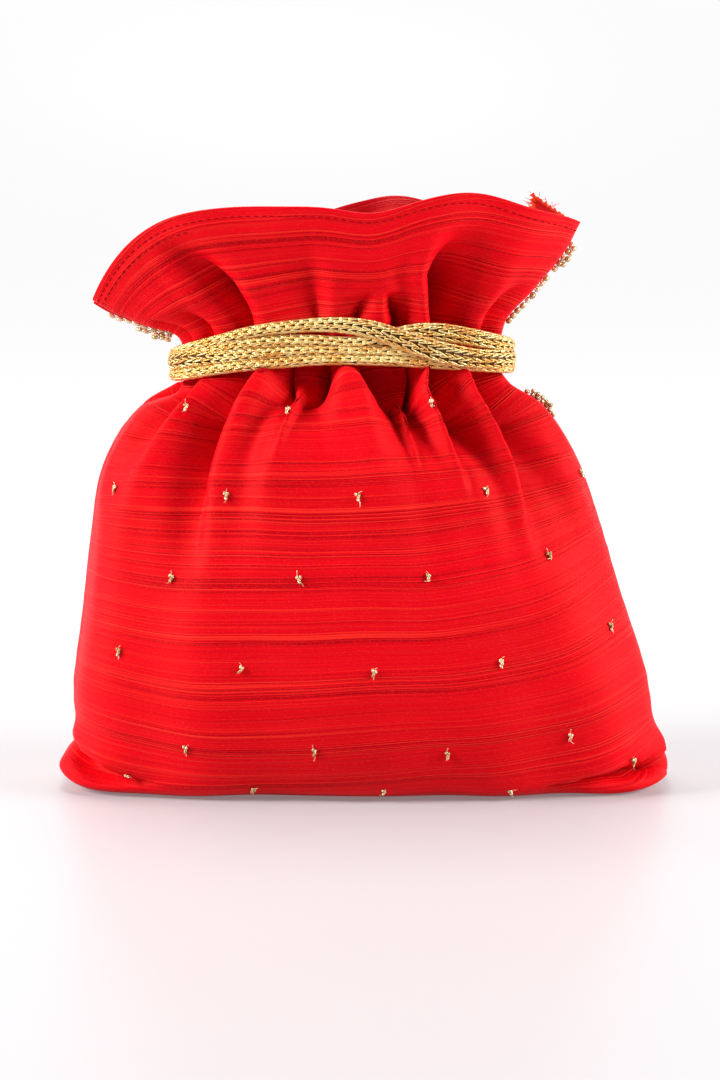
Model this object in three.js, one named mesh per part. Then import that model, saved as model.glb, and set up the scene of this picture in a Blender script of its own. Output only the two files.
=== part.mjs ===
// A drawstring pouch of slubbed silk. Two panels are sewn along the sides and the bottom, drawn in
// at the neck by a wound cord, and flare above it into a ruffle. Gold bead knots dot the cloth.
//
// Millimetres, +Z up. The pouch stands on the plane z = 0 and its front looks along -Y.
// A point of a panel has two coordinates: u runs from the left seam (0) to the right seam (1), and
// v counts the sections of the outline from the bottom seam (0) up to the rim.

import * as THREE from 'three';

// Cloth
const CLOTH = 1.2;
const HEM_EXTRA = 0.6;
const HEM_SECTIONS = 0.45;
const SEAM_GAP = 0.3;
const SEAT_GAP = 0.3;

// Body, below the neck
const BODY_HALF_WIDTH = 114.8;
const BELLY_HALF_DEPTH = 48;
const CORNER_LIFT = 5;
const BASE_PRESS = 3;
const CORNER_CREASE = 5;

// Cord and the neck it draws in
const CORD_DIAMETER = 4.2;
const CORD_TURNS = 4;
const CORD_SEAM_BULK = 1.4;
const CORD_STEP_TURN = 0.06;
const NECK_HALF_WIDTH = 60;
const NECK_HALF_DEPTH = 20;
const NECK_SHIFT = -7.7;
const NECK_HEIGHT = 166;
const NECK_DROP_LEFT = 8;
const NECK_DROP_RIGHT = 3;
const NECK_MARGIN = 0.55;

// Ruffle, above the neck: the corners of the rim by x and by how far they drop below it
const RIM_HEIGHT = 216;
const RIM_HALF_DEPTH = 30;
const RIM_WAVE = 7;
const LEFT_WING_X = -100.6;
const LEFT_WING_DROP = 34;
const RIGHT_WING_X = 79.8;
const RIGHT_WING_DROP = 5;

// Gathers: how much deeper they are just off the cord, how far ridges billow out under it and lean
// towards the side seams, how far their crests shift that way, the share of the bag's depth that a
// valley can take up, and the stretch of u that evens out the inner face
const GATHER_SWELL = 0.15;
const GATHER_BILLOW = 5;
const GATHER_LEAN = 1;
const GATHER_SKEW = 0.1;
const GATHER_LIMIT = 0.36;
const FOLD_REACH = 0.01;

// Bead knots, edging and the frayed end of the seam
const BOOTI_LENGTH = 3;
const BOOTI_WIDTH = 1.9;
const BOOTI_COLUMN_PITCH = 47;
const BOOTI_EDGE_ROW = 40;
const BOOTI_FIRST_ROW = 57;
const BOOTI_TOP_DROP = 20;
const BOOTI_SHIFT = 7;
const BOOTI_SEAM_SHARE = 0.03;
const BEAD_DIAMETER = 1.8;
const EDGING_GAP = 0.4;
const LEFT_EDGING = [9.4, 11.5];
const RIGHT_UPPER_EDGING = [9.5, 11.3];
const RIGHT_LOWER_EDGING = [6.75, 7.3];
const FLAP_WIDTH = 17;
const FLAP_RISE = 10;
const FLAP_SLANT = 2;
const FLAP_SECTIONS = 0.8;
const FLAP_THICKNESS = 0.8;

// Mesh density
const CORD_SIDES = 8;
const CORD_STEPS = 120;
const EDGING_STEPS = 10;
const BOOTI_SIDES = 4;

const CORD_PITCH = CORD_DIAMETER + SEAT_GAP;
const NECK_BAND = CORD_TURNS * CORD_PITCH + 2 * NECK_MARGIN;
const SHOULDER = 6;
const NECK_LOW = 8;
const NECK_HIGH = 9;
const RIM = 12;

// The outline, section by section from the bottom seam: the left and right seams as [x, z], the
// middle of the panel as [distance from the seam plane, z], how square the plan is (1 is an
// ellipse, less is squarer) and how late the rows climb towards the seams.
const neckLow = NECK_HEIGHT - NECK_BAND / 2;
const neckHigh = NECK_HEIGHT + NECK_BAND / 2;
const neckLeft = NECK_SHIFT - NECK_HALF_WIDTH;
const neckRight = NECK_SHIFT + NECK_HALF_WIDTH;
const ruffleDepth = RIM_HALF_DEPTH - NECK_HALF_DEPTH;
const ruffleRise = RIM_HEIGHT - neckHigh;
const leftRun = LEFT_WING_X - neckLeft;
const leftRise = ruffleRise - LEFT_WING_DROP + NECK_DROP_LEFT;
const rightRun = RIGHT_WING_X - neckRight;
const rightRise = ruffleRise - RIGHT_WING_DROP + NECK_DROP_RIGHT;

function section(left, right, middle, square, climb) {
  return { left, right, middle, square, climb };
}

function ruffleSection(out, up, climb) {
  const left = [neckLeft + out * leftRun, neckHigh - NECK_DROP_LEFT + up * leftRise];
  const right = [neckRight + out * rightRun, neckHigh - NECK_DROP_RIGHT + up * rightRise];
  const middle = [NECK_HALF_DEPTH + out * ruffleDepth, neckHigh + up * ruffleRise];
  return section(left, right, middle, 0.8, climb);
}

// Widths as shares of the body's half width, heights as shares of the neck's height, depths as shares
// of the belly's half depth.
function bodySection(left, right, middle, square, climb) {
  const scaled = ([share, height], size) => [share * size, height * NECK_HEIGHT];
  const seams = [left, right].map((seam) => scaled(seam, BODY_HALF_WIDTH));
  return section(...seams, scaled(middle, BELLY_HALF_DEPTH), square, climb);
}

const SECTIONS = [
  section([-BODY_HALF_WIDTH, CORNER_LIFT], [BODY_HALF_WIDTH, CORNER_LIFT], [0, -BASE_PRESS], 0.45, 8),
  section([-0.99 * BODY_HALF_WIDTH, 2.4 * CORNER_LIFT], [0.988 * BODY_HALF_WIDTH, 2.6 * CORNER_LIFT],
    [0.646 * BELLY_HALF_DEPTH, -BASE_PRESS], 0.45, 8),
  bodySection([-0.968, 0.12], [0.962, 0.15], [0.854, 0.054], 0.5, 4),
  bodySection([-0.945, 0.247], [0.913, 0.277], [0.969, 0.175], 0.6, 3),
  bodySection([-0.922, 0.398], [0.839, 0.446], [1, 0.349], 0.7, 2.7),
  bodySection([-0.894, 0.566], [0.769, 0.608], [0.948, 0.53], 0.8, 2.7),
  bodySection([-0.852, 0.723], [0.695, 0.747], [0.875, 0.729], 0.85, 2.5),
  bodySection([-0.734, 0.849], [0.586, 0.861], [0.688, 0.886], 0.85, 2),
  section([neckLeft, neckLow - NECK_DROP_LEFT], [neckRight, neckLow - NECK_DROP_RIGHT],
    [NECK_HALF_DEPTH, neckLow], 0.8, 2),
  ruffleSection(0, 0, 2),
  ruffleSection(0.4, 0.36, 3),
  ruffleSection(0.78, 0.7, 4.6),
  ruffleSection(1, 1, 5.2),
];

// Gathers: valleys in the cloth. A valley has its u at the cord, where it fades below and at the rim.
// Below and above the cord it has a depth, as a share of the neck's half depth, and the sections that
// it runs. Between it and the next valley the cloth arches, and a sunk arch, given in the same way,
// stays down as a pocket near the cord. rim is the share of the depth that is left at the rim.
const FLAT_ARCH = [0, 1];
const valley = (u, below, above, sink = FLAT_ARCH, rim = 0) => ({ u, below, above, sink, rim });

const FRONT_VALLEYS = [
  valley([0.095, 0.085, 0.07], [0.35, 1.5], [0.25, 1.4]),
  valley([0.185, 0.185, 0.15], [0.6, 2.6], [0.5, 1.1]),
  valley([0.318, 0.308, 0.225], [0.8, 3], [0.7, 3]),
  valley([0.388, 0.412, 0.35], [0.5, 0.9], [0.15, 0.8], [0.3, 0.6]),
  valley([0.462, 0.455, 0.45], [0.5, 1], [0.2, 1]),
  valley([0.548, 0.57, 0.545], [0.5, 0.9], [0.4, 0.9], [0.3, 0.6]),
  valley([0.625, 0.612, 0.585], [0.5, 1], [0.6, 0.95]),
  valley([0.688, 0.665, 0.68], [0.8, 3.6], [0.6, 2.5]),
  valley([0.782, 0.765, 0.78], [0.8, 3.4], [0.15, 1]),
  valley([0.89, 0.9, 0.9], [0.4, 1.8], [0.35, 1.4]),
];
const BACK_VALLEYS = [
  valley([0.07, 0.07, 0.06], [0.3, 1.6], [0.3, 1.6]),
  valley([0.17, 0.16, 0.14], [0.65, 2.8], [0.65, 3.4], FLAT_ARCH, 0.35),
  valley([0.265, 0.255, 0.27], [0.55, 1.8], [0.5, 1.6]),
  valley([0.36, 0.345, 0.36], [0.85, 3.4], [0.75, 3.6], FLAT_ARCH, 0.4),
  valley([0.445, 0.455, 0.44], [0.7, 1.1], [0.3, 1], [0.4, 0.7]),
  valley([0.515, 0.495, 0.5], [0.7, 1.2], [0.55, 1.4]),
  valley([0.595, 0.6, 0.59], [0.85, 3.6], [0.7, 2.8], FLAT_ARCH, 0.2),
  valley([0.685, 0.69, 0.71], [0.6, 1.8], [0.55, 1.8]),
  valley([0.78, 0.785, 0.84], [0.8, 3.2], [0.7, 3.4], FLAT_ARCH, 0.4),
  valley([0.89, 0.895, 0.92], [0.4, 2], [0.25, 1.4]),
];

// Creases that set off the bottom corners, along a row, and the lifts of the wavy rim
const CORNER_CREASES = [
  { u: 0, reach: 0.24, v: 1.75, half: 0.3, depth: 0.8 * CORNER_CREASE },
  { u: 1, reach: 0.28, v: 1.85, half: 0.3, depth: CORNER_CREASE },
];
const FRONT_RIM_LIFTS = [
  { u: 0.68, half: 0.09, lift: 0.7 * RIM_WAVE },
  { u: 0.55, half: 0.05, lift: -0.4 * RIM_WAVE },
];
const BACK_RIM_LIFTS = [
  { u: 0.32, half: 0.24, lift: -RIM_WAVE },
  { u: 0.57, half: 0.09, lift: RIM_WAVE },
  { u: 0.82, half: 0.14, lift: -0.85 * RIM_WAVE },
];

const FRONT = { side: -1, valleys: FRONT_VALLEYS, rimLifts: FRONT_RIM_LIFTS };
const BACK = { side: 1, valleys: BACK_VALLEYS, rimLifts: BACK_RIM_LIFTS };

// Rows of the mesh, in sections, and columns, as places across each ridge from its left valley
const ROWS = [0, 0.55, 1, 1.4, 1.75, 2.15, 2.9, 3.8, 4.7, 5.5, 6.2, 6.75, 7.15, 7.45, 7.75, NECK_LOW,
  NECK_HIGH, 9.5, 10.2, 11, RIM - HEM_SECTIONS, RIM];
const RIDGE_COLUMNS = [0, 0.22, 0.5, 0.78];

const SILK = new THREE.MeshStandardMaterial({ color: 0xd8141a, roughness: 0.45, metalness: 0 });
const RAW_SILK = new THREE.MeshStandardMaterial({ color: 0xe8421c, roughness: 0.8, metalness: 0 });
const GOLD = new THREE.MeshStandardMaterial({ color: 0xc9a24e, roughness: 0.4, metalness: 0.8 });

const clamp01 = (t) => Math.min(1, Math.max(0, t));
const clampSide = (t) => Math.min(1, Math.max(-1, t));
const smooth = (t) => clamp01(t) ** 2 * (3 - 2 * clamp01(t));
const bell = (x) => Math.exp(-x * x);

// A smooth curve through one value of every section, read at v.
function along(v, read) {
  const last = SECTIONS.length - 1;
  const k = Math.min(last - 1, Math.floor(v));
  const t = v - k;
  const at = (i) => read(SECTIONS[i]);
  const before = k > 0 ? at(k - 1) : 2 * at(0) - at(1);
  const after = k + 2 <= last ? at(k + 2) : 2 * at(last) - at(last - 1);
  const slope0 = (at(k + 1) - before) / 2;
  const slope1 = (after - at(k)) / 2;
  const rest = 3 * (at(k + 1) - at(k)) - 2 * slope0 - slope1;
  const cubic = slope0 + slope1 - 2 * (at(k + 1) - at(k));
  return at(k) + t * (slope0 + t * (rest + t * cubic));
}

// The panel without its gathers: the surface that their crests reach.
function envelope(panel, u, v) {
  const across = Math.cos(Math.PI * u);
  const seam = across > 0 ? (s) => s.left : (s) => s.right;
  const leftX = along(v, (s) => s.left[0]);
  const rightX = along(v, (s) => s.right[0]);
  const depth = along(v, (s) => s.middle[0]);
  const middleZ = along(v, (s) => s.middle[1]);
  const seamZ = along(v, (s) => seam(s)[1]);
  const square = along(v, (s) => s.square);
  const climb = along(v, (s) => s.climb);
  const bulge = Math.max(0, Math.sin(Math.PI * u)) ** square;
  const x = (leftX + rightX) / 2 - ((rightX - leftX) / 2) * across;
  const y = panel.side * (SEAM_GAP / 2 + depth * bulge);
  const z = middleZ + (seamZ - middleZ) * Math.abs(across) ** climb;
  const rimShare = smooth((v - NECK_HIGH) / (RIM - NECK_HIGH));
  const lift = panel.rimLifts.reduce((sum, r) => sum + r.lift * bell((u - r.u) / r.half), 0);
  return new THREE.Vector3(x, y, z + rimShare * lift);
}

// A valley's u and depth at v. Its depths below and above the cord pass into each other under the cord.
function valleyPlace({ u: [cord, low, high], below }, v) {
  if (v < NECK_LOW) return cord + (low - cord) * clamp01((NECK_LOW - v) / below[1]);
  return cord + (high - cord) * clamp01((v - NECK_HIGH) / (RIM - NECK_HIGH));
}

function valleyDepth({ below, above, rim }, v) {
  const low = below[0] * smooth(1 - (NECK_LOW - v) / below[1]);
  const high = above[0] * Math.max(smooth(1 - (v - NECK_HIGH) / above[1]), rim);
  const swell = 1 + GATHER_SWELL * Math.min(1, offCord(v));
  return NECK_HALF_DEPTH * swell * (low + (high - low) * smooth(v - NECK_LOW));
}

function ridgeEdges(panel, v) {
  return [0, ...panel.valleys.map((line) => valleyPlace(line, v)), 1];
}

function offCord(v) {
  return Math.max(0, NECK_LOW - v, v - NECK_HIGH);
}

// The ridge at (u, v): how far the cloth is pressed in, and how high it stands over its valleys. Across
// a ridge the cloth follows a power of a sine, whose crest shifts towards the nearer side seam.
function ridgeAt(panel, u, v) {
  const edges = ridgeEdges(panel, v);
  const depths = [0, ...panel.valleys.map((line) => valleyDepth(line, v)), 0];
  const i = Math.max(0, edges.findLastIndex((edge, k) => edge <= u && k + 1 < edges.length));
  const w = clamp01((u - edges[i]) / (edges[i + 1] - edges[i]));
  const off = offCord(v);
  const sideways = clampSide(3.5 * ((edges[i] + edges[i + 1]) / 2 - 0.5));
  const crestAt = 0.5 + GATHER_SKEW * sideways * smooth(1.15 - off / (v < NECK_LOW ? 4 : 1.6));
  const sine = Math.max(0, Math.sin(Math.PI * w ** (Math.log(0.5) / Math.log(crestAt))));
  const arch = sine ** Math.min(1.6, 1 + 0.25 * off);
  const deep = depths[i] + (depths[i + 1] - depths[i]) * smooth(w);
  const sink = i > 0 ? panel.valleys[i - 1].sink : FLAT_ARCH;
  const sunk = NECK_HALF_DEPTH * sink[0] * smooth(1 - (NECK_LOW - v) / sink[1]) * smooth(NECK_HIGH - v);
  return { press: deep + (Math.min(sunk, deep) - deep) * arch, crest: deep * arch };
}

// The corner creases, as a press.
function creasePress(u, v) {
  return CORNER_CREASES.reduce((sum, crease) => {
    const fade = smooth(1 - Math.abs(u - crease.u) / crease.reach);
    return sum + crease.depth * fade * bell((v - crease.v) / crease.half);
  }, 0);
}

function normalOf(surface, u, v, reach = 1e-3) {
  const step = 1e-3;
  const u0 = Math.max(0, u - reach);
  const u1 = Math.min(1, u + reach);
  const v0 = Math.max(0, v - step);
  const v1 = Math.min(RIM, v + step);
  const du = surface(u1, v).sub(surface(u0, v));
  const dv = surface(u, v1).sub(surface(u, v0));
  return du.cross(dv).normalize();
}

// The outer face of the cloth: pressed in by its valleys, billowing out under the cord, leaning towards
// the side seams, and settled flat where it meets the table.
function outerPoint(panel, u, v) {
  const surface = (a, b) => envelope(panel, a, b);
  const point = envelope(panel, u, v);
  const within = Math.min(0.99, Math.max(0.01, u));
  const inward = normalOf(surface, within, Math.max(0.05, v)).multiplyScalar(panel.side);
  const across = surface(within + 1e-3, v).sub(surface(within - 1e-3, v)).normalize();
  const ridge = ridgeAt(panel, u, v);
  const height = ridge.crest / NECK_HALF_DEPTH;
  const below = Math.max(0, NECK_LOW - v);
  const billow = GATHER_BILLOW * Math.min(1, height) * smooth(below / 0.3) * bell((below - 0.3) / 0.6);
  const press = Math.min(ridge.press, GATHER_LIMIT * Math.abs(point.y)) - billow + creasePress(u, v);
  point.addScaledVector(inward, press);
  point.addScaledVector(across, GATHER_LEAN * height * clampSide(2.4 * (2 * u - 1)));
  if (u === 0 || u === 1 || v === 0) point.y = (panel.side * SEAM_GAP) / 2;
  point.z = Math.max(0, point.z);
  return point;
}

// The inner face lies one cloth thickness in, and the hem is thicker. Its direction is evened out over a
// stretch of u, so that it stays in order inside the folds.
function innerPoint(panel, u, v) {
  const surface = (a, b) => outerPoint(panel, a, b);
  const inward = normalOf(surface, u, v, FOLD_REACH).multiplyScalar(panel.side);
  if (u === 0 || u === 1 || v === 0) inward.setY(0).normalize();
  const hem = HEM_EXTRA * smooth((v - RIM + HEM_SECTIONS) / (HEM_SECTIONS / 2));
  const point = outerPoint(panel, u, v).addScaledVector(inward, CLOTH + hem);
  if (panel.side * point.y < SEAM_GAP / 2) point.y = (panel.side * SEAM_GAP) / 2;
  return point;
}

// A closed sheet between an outer and an inner grid of points, with its four edges.
function sheetGeometry(outer, inner, flip) {
  const rows = outer.length;
  const columns = outer[0].length;
  const positions = [...outer.flat(), ...inner.flat()].flatMap((p) => p.toArray());
  const index = [];
  const quad = (a, b, c, d) => (flip ? index.push(a, c, b, a, d, c) : index.push(a, b, c, a, c, d));
  const out = (row, column) => row * columns + column;
  const into = (row, column) => rows * columns + row * columns + column;
  for (let r = 0; r + 1 < rows; r++) {
    for (let c = 0; c + 1 < columns; c++) {
      quad(out(r, c), out(r, c + 1), out(r + 1, c + 1), out(r + 1, c));
      quad(into(r, c), into(r + 1, c), into(r + 1, c + 1), into(r, c + 1));
    }
    quad(out(r, 0), out(r + 1, 0), into(r + 1, 0), into(r, 0));
    quad(out(r, columns - 1), into(r, columns - 1), into(r + 1, columns - 1), out(r + 1, columns - 1));
  }
  for (let c = 0; c + 1 < columns; c++) {
    quad(out(0, c), into(0, c), into(0, c + 1), out(0, c + 1));
    quad(out(rows - 1, c), out(rows - 1, c + 1), into(rows - 1, c + 1), into(rows - 1, c));
  }
  const geometry = new THREE.BufferGeometry();
  geometry.setAttribute('position', new THREE.Float32BufferAttribute(positions, 3));
  geometry.setIndex(index);
  geometry.computeVertexNormals();
  return geometry;
}

function named(name, geometry, material) {
  const mesh = new THREE.Mesh(geometry, material);
  mesh.name = name;
  return mesh;
}

// Columns of the mesh follow the gathers from row to row.
function columnPlaces(panel, v) {
  const edges = ridgeEdges(panel, v);
  const ridge = (right, i) => RIDGE_COLUMNS.map((w) => edges[i] + w * (right - edges[i]));
  const ridges = edges.slice(1).map(ridge);
  return [...ridges.flat(), 1];
}

function panelMesh(name, panel) {
  const grid = (point) => ROWS.map((v) => columnPlaces(panel, v).map((u) => point(panel, u, v)));
  const geometry = sheetGeometry(grid(outerPoint), grid(innerPoint), panel.side > 0);
  return named(name, geometry, SILK);
}

function roundSection(diameter) {
  return new THREE.Shape().absarc(0, 0, diameter / 2, 0, 2 * Math.PI);
}

function tubeGeometry(path, diameter, sides, steps) {
  const options = { extrudePath: path, steps, curveSegments: sides / 2, bevelEnabled: false };
  return new THREE.ExtrudeGeometry(roundSection(diameter), options);
}

// The wound cord: level turns stacked over the neck. Behind the bag each turn steps down to the next.
function cordLevel(turn) {
  const steps = Array.from({ length: CORD_TURNS - 1 }, (_, k) => smooth((turn - k - 1) / CORD_STEP_TURN + 1));
  return (CORD_TURNS - 1) / 2 - steps.reduce((sum, step) => sum + step, 0);
}

function cordPoint(turn, level = cordLevel(turn)) {
  const around = (turn + 0.75) % 1;
  const panel = around < 0.5 ? FRONT : BACK;
  const u = panel === FRONT ? 2 * around : 2 - 2 * around;
  const rise = 0.5 + (level * CORD_PITCH) / NECK_BAND;
  const surface = (a, b) => envelope(panel, a, NECK_LOW).lerp(envelope(panel, a, NECK_HIGH), b);
  const outward = normalOf(surface, Math.min(0.995, Math.max(0.005, u)), rise).multiplyScalar(-panel.side);
  const seamBulk = CORD_SEAM_BULK * Math.abs(Math.cos(Math.PI * u)) ** 4;
  const clear = CORD_DIAMETER / 2 + SEAT_GAP + seamBulk;
  return surface(u, rise).addScaledVector(outward.setZ(0).normalize(), clear);
}

function drawCord() {
  const pointsPerTurn = 32;
  const length = CORD_TURNS - CORD_STEP_TURN;
  const count = Math.round(pointsPerTurn * length);
  const points = Array.from({ length: count + 1 }, (_, i) => cordPoint((i / count) * length));
  const path = new THREE.CatmullRomCurve3(points);
  return named('draw_cord', tubeGeometry(path, CORD_DIAMETER, CORD_SIDES, CORD_STEPS), GOLD);
}

// The hitch: the cord's end passes over the turns in the middle of the back and tucks in above and below.
function cordHitch() {
  const tuck = THREE.MathUtils.degToRad(40);
  const bends = 4;
  const top = cordPoint(0);
  const bottom = cordPoint(0, cordLevel(CORD_TURNS - CORD_STEP_TURN));
  const bend = (centre, from, to) => Array.from({ length: bends + 1 }, (_, i) => {
    const angle = from + ((to - from) * i) / bends;
    const reach = new THREE.Vector3(0, Math.sin(angle), Math.cos(angle)).multiplyScalar(CORD_PITCH);
    return reach.add(centre);
  });
  const over = Math.PI / 2;
  const points = [...bend(top, tuck, over), ...bend(bottom, over, Math.PI - tuck)];
  const path = new THREE.CatmullRomCurve3(points);
  return named('cord_hitch', tubeGeometry(path, CORD_DIAMETER, CORD_SIDES, 3 * bends), GOLD);
}

// A bead string beside a side seam, between two sections, just behind the seam's edge.
function beadEdging(name, u, [from, to]) {
  const rows = [from, ...ROWS.filter((v) => v > from && v < to), to];
  const outside = u === 0 ? -1 : 1;
  const points = rows.map((v) => {
    const below = outerPoint(BACK, u, v - 0.05);
    const above = outerPoint(BACK, u, v + 0.05);
    const along = above.sub(below);
    const out = new THREE.Vector3(along.z, 0, -along.x).normalize().multiplyScalar(outside);
    const point = outerPoint(BACK, u, v).addScaledVector(out, BEAD_DIAMETER / 2 + EDGING_GAP);
    return point.setY(BEAD_DIAMETER / 2);
  });
  const path = new THREE.CatmullRomCurve3(points);
  return named(name, tubeGeometry(path, BEAD_DIAMETER, 6, EDGING_STEPS), GOLD);
}

// The raw end of the right seam's allowance stands up in the corner of the rim, in the seam plane.
function frayedFlap() {
  const inset = CLOTH + HEM_EXTRA + SEAT_GAP;
  const seam = (v) => new THREE.Vector2(along(v, (s) => s.right[0]) - inset, along(v, (s) => s.right[1]));
  const root = seam(RIM - FLAP_SECTIONS);
  const top = seam(RIM);
  const outline = new THREE.Shape([
    root,
    top,
    new THREE.Vector2(top.x - FLAP_WIDTH + FLAP_SLANT, top.y + FLAP_RISE),
    new THREE.Vector2(top.x - FLAP_WIDTH, top.y + FLAP_RISE - FLAP_SLANT),
    new THREE.Vector2(top.x - FLAP_WIDTH + 2 * FLAP_SLANT, (root.y + top.y) / 2),
  ]);
  const geometry = new THREE.ExtrudeGeometry(outline, { depth: FLAP_THICKNESS, bevelEnabled: false });
  geometry.rotateX(Math.PI / 2).translate(0, FLAP_THICKNESS / 2, 0);
  return named('frayed_flap', geometry, RAW_SILK);
}

// Lengths along the cloth: up the middle of a panel, and across it from the middle, as far as knots keep
// clear of the seam. Above the shoulder the gathers take up the cloth, and a column's threads keep their u.
function lengthAtSection(panel, section) {
  const step = 0.02;
  let run = 0;
  for (let v = 0; v < section; v += step) {
    run += outerPoint(panel, 0.5, v + step).distanceTo(outerPoint(panel, 0.5, v));
  }
  return run;
}

function sectionAtLength(panel, length) {
  const step = 0.02;
  let run = 0;
  let v = 0;
  while (run < length) {
    run += outerPoint(panel, 0.5, v + step).distanceTo(outerPoint(panel, 0.5, v));
    v += step;
  }
  return v;
}

function columnAtLength(panel, v, length) {
  const row = (u) => envelope(panel, u, Math.min(v, SHOULDER));
  const step = 0.002 * Math.sign(length);
  let run = 0;
  let u = 0.5;
  while (run < Math.abs(length) && Math.min(u, 1 - u) > BOOTI_SEAM_SHARE) {
    run += row(u + step).distanceTo(row(u));
    u += step;
  }
  return u;
}

// A booti: two beads sewn end to end, seated on the highest cloth beneath it.
function bootiGeometry() {
  const half = BOOTI_LENGTH / 2;
  const bead = BOOTI_WIDTH / 2;
  const profile = [[0, -half], [bead, -half / 2], [0.7 * bead, 0], [bead, half / 2], [0, half]];
  return new THREE.LatheGeometry(profile.map(([x, y]) => new THREE.Vector2(x, y)), BOOTI_SIDES);
}

function seatOnCloth(knot, cloth, panel, u, v) {
  const surface = (a, b) => outerPoint(panel, a, b);
  const seat = surface(u, v);
  const out = normalOf(surface, u, v).multiplyScalar(-panel.side);
  const rise = surface(u, v + 0.01).sub(surface(u, v - 0.01)).normalize();
  const across = rise.clone().cross(out);
  const reach = 2 * BOOTI_LENGTH;
  const places = [-0.6, -0.3, 0, 0.3, 0.6];
  const heights = places.flatMap((a) => places.map((b) => {
    const start = seat.clone().addScaledVector(out, reach);
    start.addScaledVector(across, a * BOOTI_WIDTH).addScaledVector(rise, b * BOOTI_LENGTH);
    const [hit] = new THREE.Raycaster(start, out.clone().negate()).intersectObject(cloth);
    return hit ? reach - hit.distance : 0;
  }));
  knot.setRotationFromMatrix(new THREE.Matrix4().makeBasis(across, rise, out));
  knot.position.copy(seat).addScaledVector(out, Math.max(...heights) + BOOTI_WIDTH / 2 + SEAT_GAP);
}

// Among the gathers a knot keeps to the middle of its ridge, clear of the valleys.
function onRidge(panel, u, v) {
  const edges = ridgeEdges(panel, v);
  const i = edges.findLastIndex((edge) => edge <= u);
  const sides = panel.valleys.slice(Math.max(0, i - 1), i + 1);
  const deepest = Math.max(...sides.map((line) => valleyDepth(line, v)));
  if (deepest < BOOTI_LENGTH) return u;
  const width = edges[i + 1] - edges[i];
  return Math.min(edges[i] + 0.7 * width, Math.max(edges[i] + 0.3 * width, u));
}

// Rows of knots are spread evenly from the first row to the top row, which keeps its distance from the cord.
function bootis(label, panel, cloth) {
  const knots = new THREE.Group();
  const geometry = bootiGeometry();
  const counts = [5, 4, 5, 4, 5, 3];
  const topRow = lengthAtSection(panel, NECK_LOW) - BOOTI_TOP_DROP;
  const pitch = (topRow - BOOTI_FIRST_ROW) / (counts.length - 2);
  counts.forEach((count, row) => {
    const height = row === 0 ? BOOTI_EDGE_ROW : BOOTI_FIRST_ROW + (row - 1) * pitch;
    const v = sectionAtLength(panel, height);
    const first = row % 2 === 0 ? -2 : -1.5;
    for (let k = 0; k < count; k++) {
      const length = BOOTI_SHIFT + (first + k) * BOOTI_COLUMN_PITCH;
      const u = columnAtLength(panel, v, length);
      const knot = named(`booti_${label}_${row + 1}_${k + 1}`, geometry, GOLD);
      seatOnCloth(knot, cloth, panel, onRidge(panel, u, v), v);
      knots.add(knot);
    }
  });
  return knots;
}

const frontPanel = panelMesh('front_panel', FRONT);
const backPanel = panelMesh('back_panel', BACK);
const bag = new THREE.Group();
bag.add(frontPanel);
bag.add(backPanel);
bag.add(drawCord());
bag.add(cordHitch());
bag.add(beadEdging('bead_edging_left', 0, LEFT_EDGING));
bag.add(beadEdging('bead_edging_right_upper', 1, RIGHT_UPPER_EDGING));
bag.add(beadEdging('bead_edging_right_lower', 1, RIGHT_LOWER_EDGING));
bag.add(frayedFlap());
bag.add(bootis('front', FRONT, frontPanel));
bag.add(bootis('back', BACK, backPanel));

export default bag;
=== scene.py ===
# %% [markdown]
# # A silk drawstring pouch
# The imported CAD model is the fixed frame of this scene: every piece made below stands where one of
# its solids stands, in the same metres.

# %% Load the frame
import math

import bpy
import numpy as np
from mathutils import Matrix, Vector


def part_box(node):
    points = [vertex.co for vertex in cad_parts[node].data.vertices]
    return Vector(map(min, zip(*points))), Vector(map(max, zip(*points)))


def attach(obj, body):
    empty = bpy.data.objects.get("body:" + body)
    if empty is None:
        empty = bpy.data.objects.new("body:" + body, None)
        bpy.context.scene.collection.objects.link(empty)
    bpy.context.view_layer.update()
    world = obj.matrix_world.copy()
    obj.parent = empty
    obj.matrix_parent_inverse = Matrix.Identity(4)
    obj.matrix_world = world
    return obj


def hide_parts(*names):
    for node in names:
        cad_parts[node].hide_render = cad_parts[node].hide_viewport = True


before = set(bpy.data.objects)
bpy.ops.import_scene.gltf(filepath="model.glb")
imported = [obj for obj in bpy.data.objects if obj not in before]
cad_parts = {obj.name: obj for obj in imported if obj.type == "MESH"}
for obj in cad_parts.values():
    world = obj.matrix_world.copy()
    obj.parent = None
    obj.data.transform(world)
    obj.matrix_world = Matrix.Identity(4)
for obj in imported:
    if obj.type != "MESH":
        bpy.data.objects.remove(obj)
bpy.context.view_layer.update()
MM = 0.001

# %% [markdown]
# ## The camera
# The pouch was photographed from the front and a little above, with a long lens. A camera is
# easiest to place by what it looks at: a target point, a distance, an elevation, and the height of
# the field of view at the target, which gives the focal length.

# %% The camera
TARGET = Vector((-0.00125, 0.0, 0.092))
DISTANCE = 0.905
FIELD_HEIGHT = 0.407
ELEVATION = math.radians(7)

camera = bpy.data.objects.new("camera", bpy.data.cameras.new("camera"))
camera.data.sensor_width = 36.0
camera.data.lens = camera.data.sensor_width * DISTANCE / FIELD_HEIGHT
camera.location = TARGET + DISTANCE * Vector((0, -math.cos(ELEVATION), math.sin(ELEVATION)))
camera.rotation_euler = (TARGET - camera.location).to_track_quat("-Z", "Y").to_euler()
bpy.context.scene.collection.objects.link(camera)
bpy.context.scene.camera = camera
print("camera: lens", round(camera.data.lens, 1), "mm")

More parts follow.
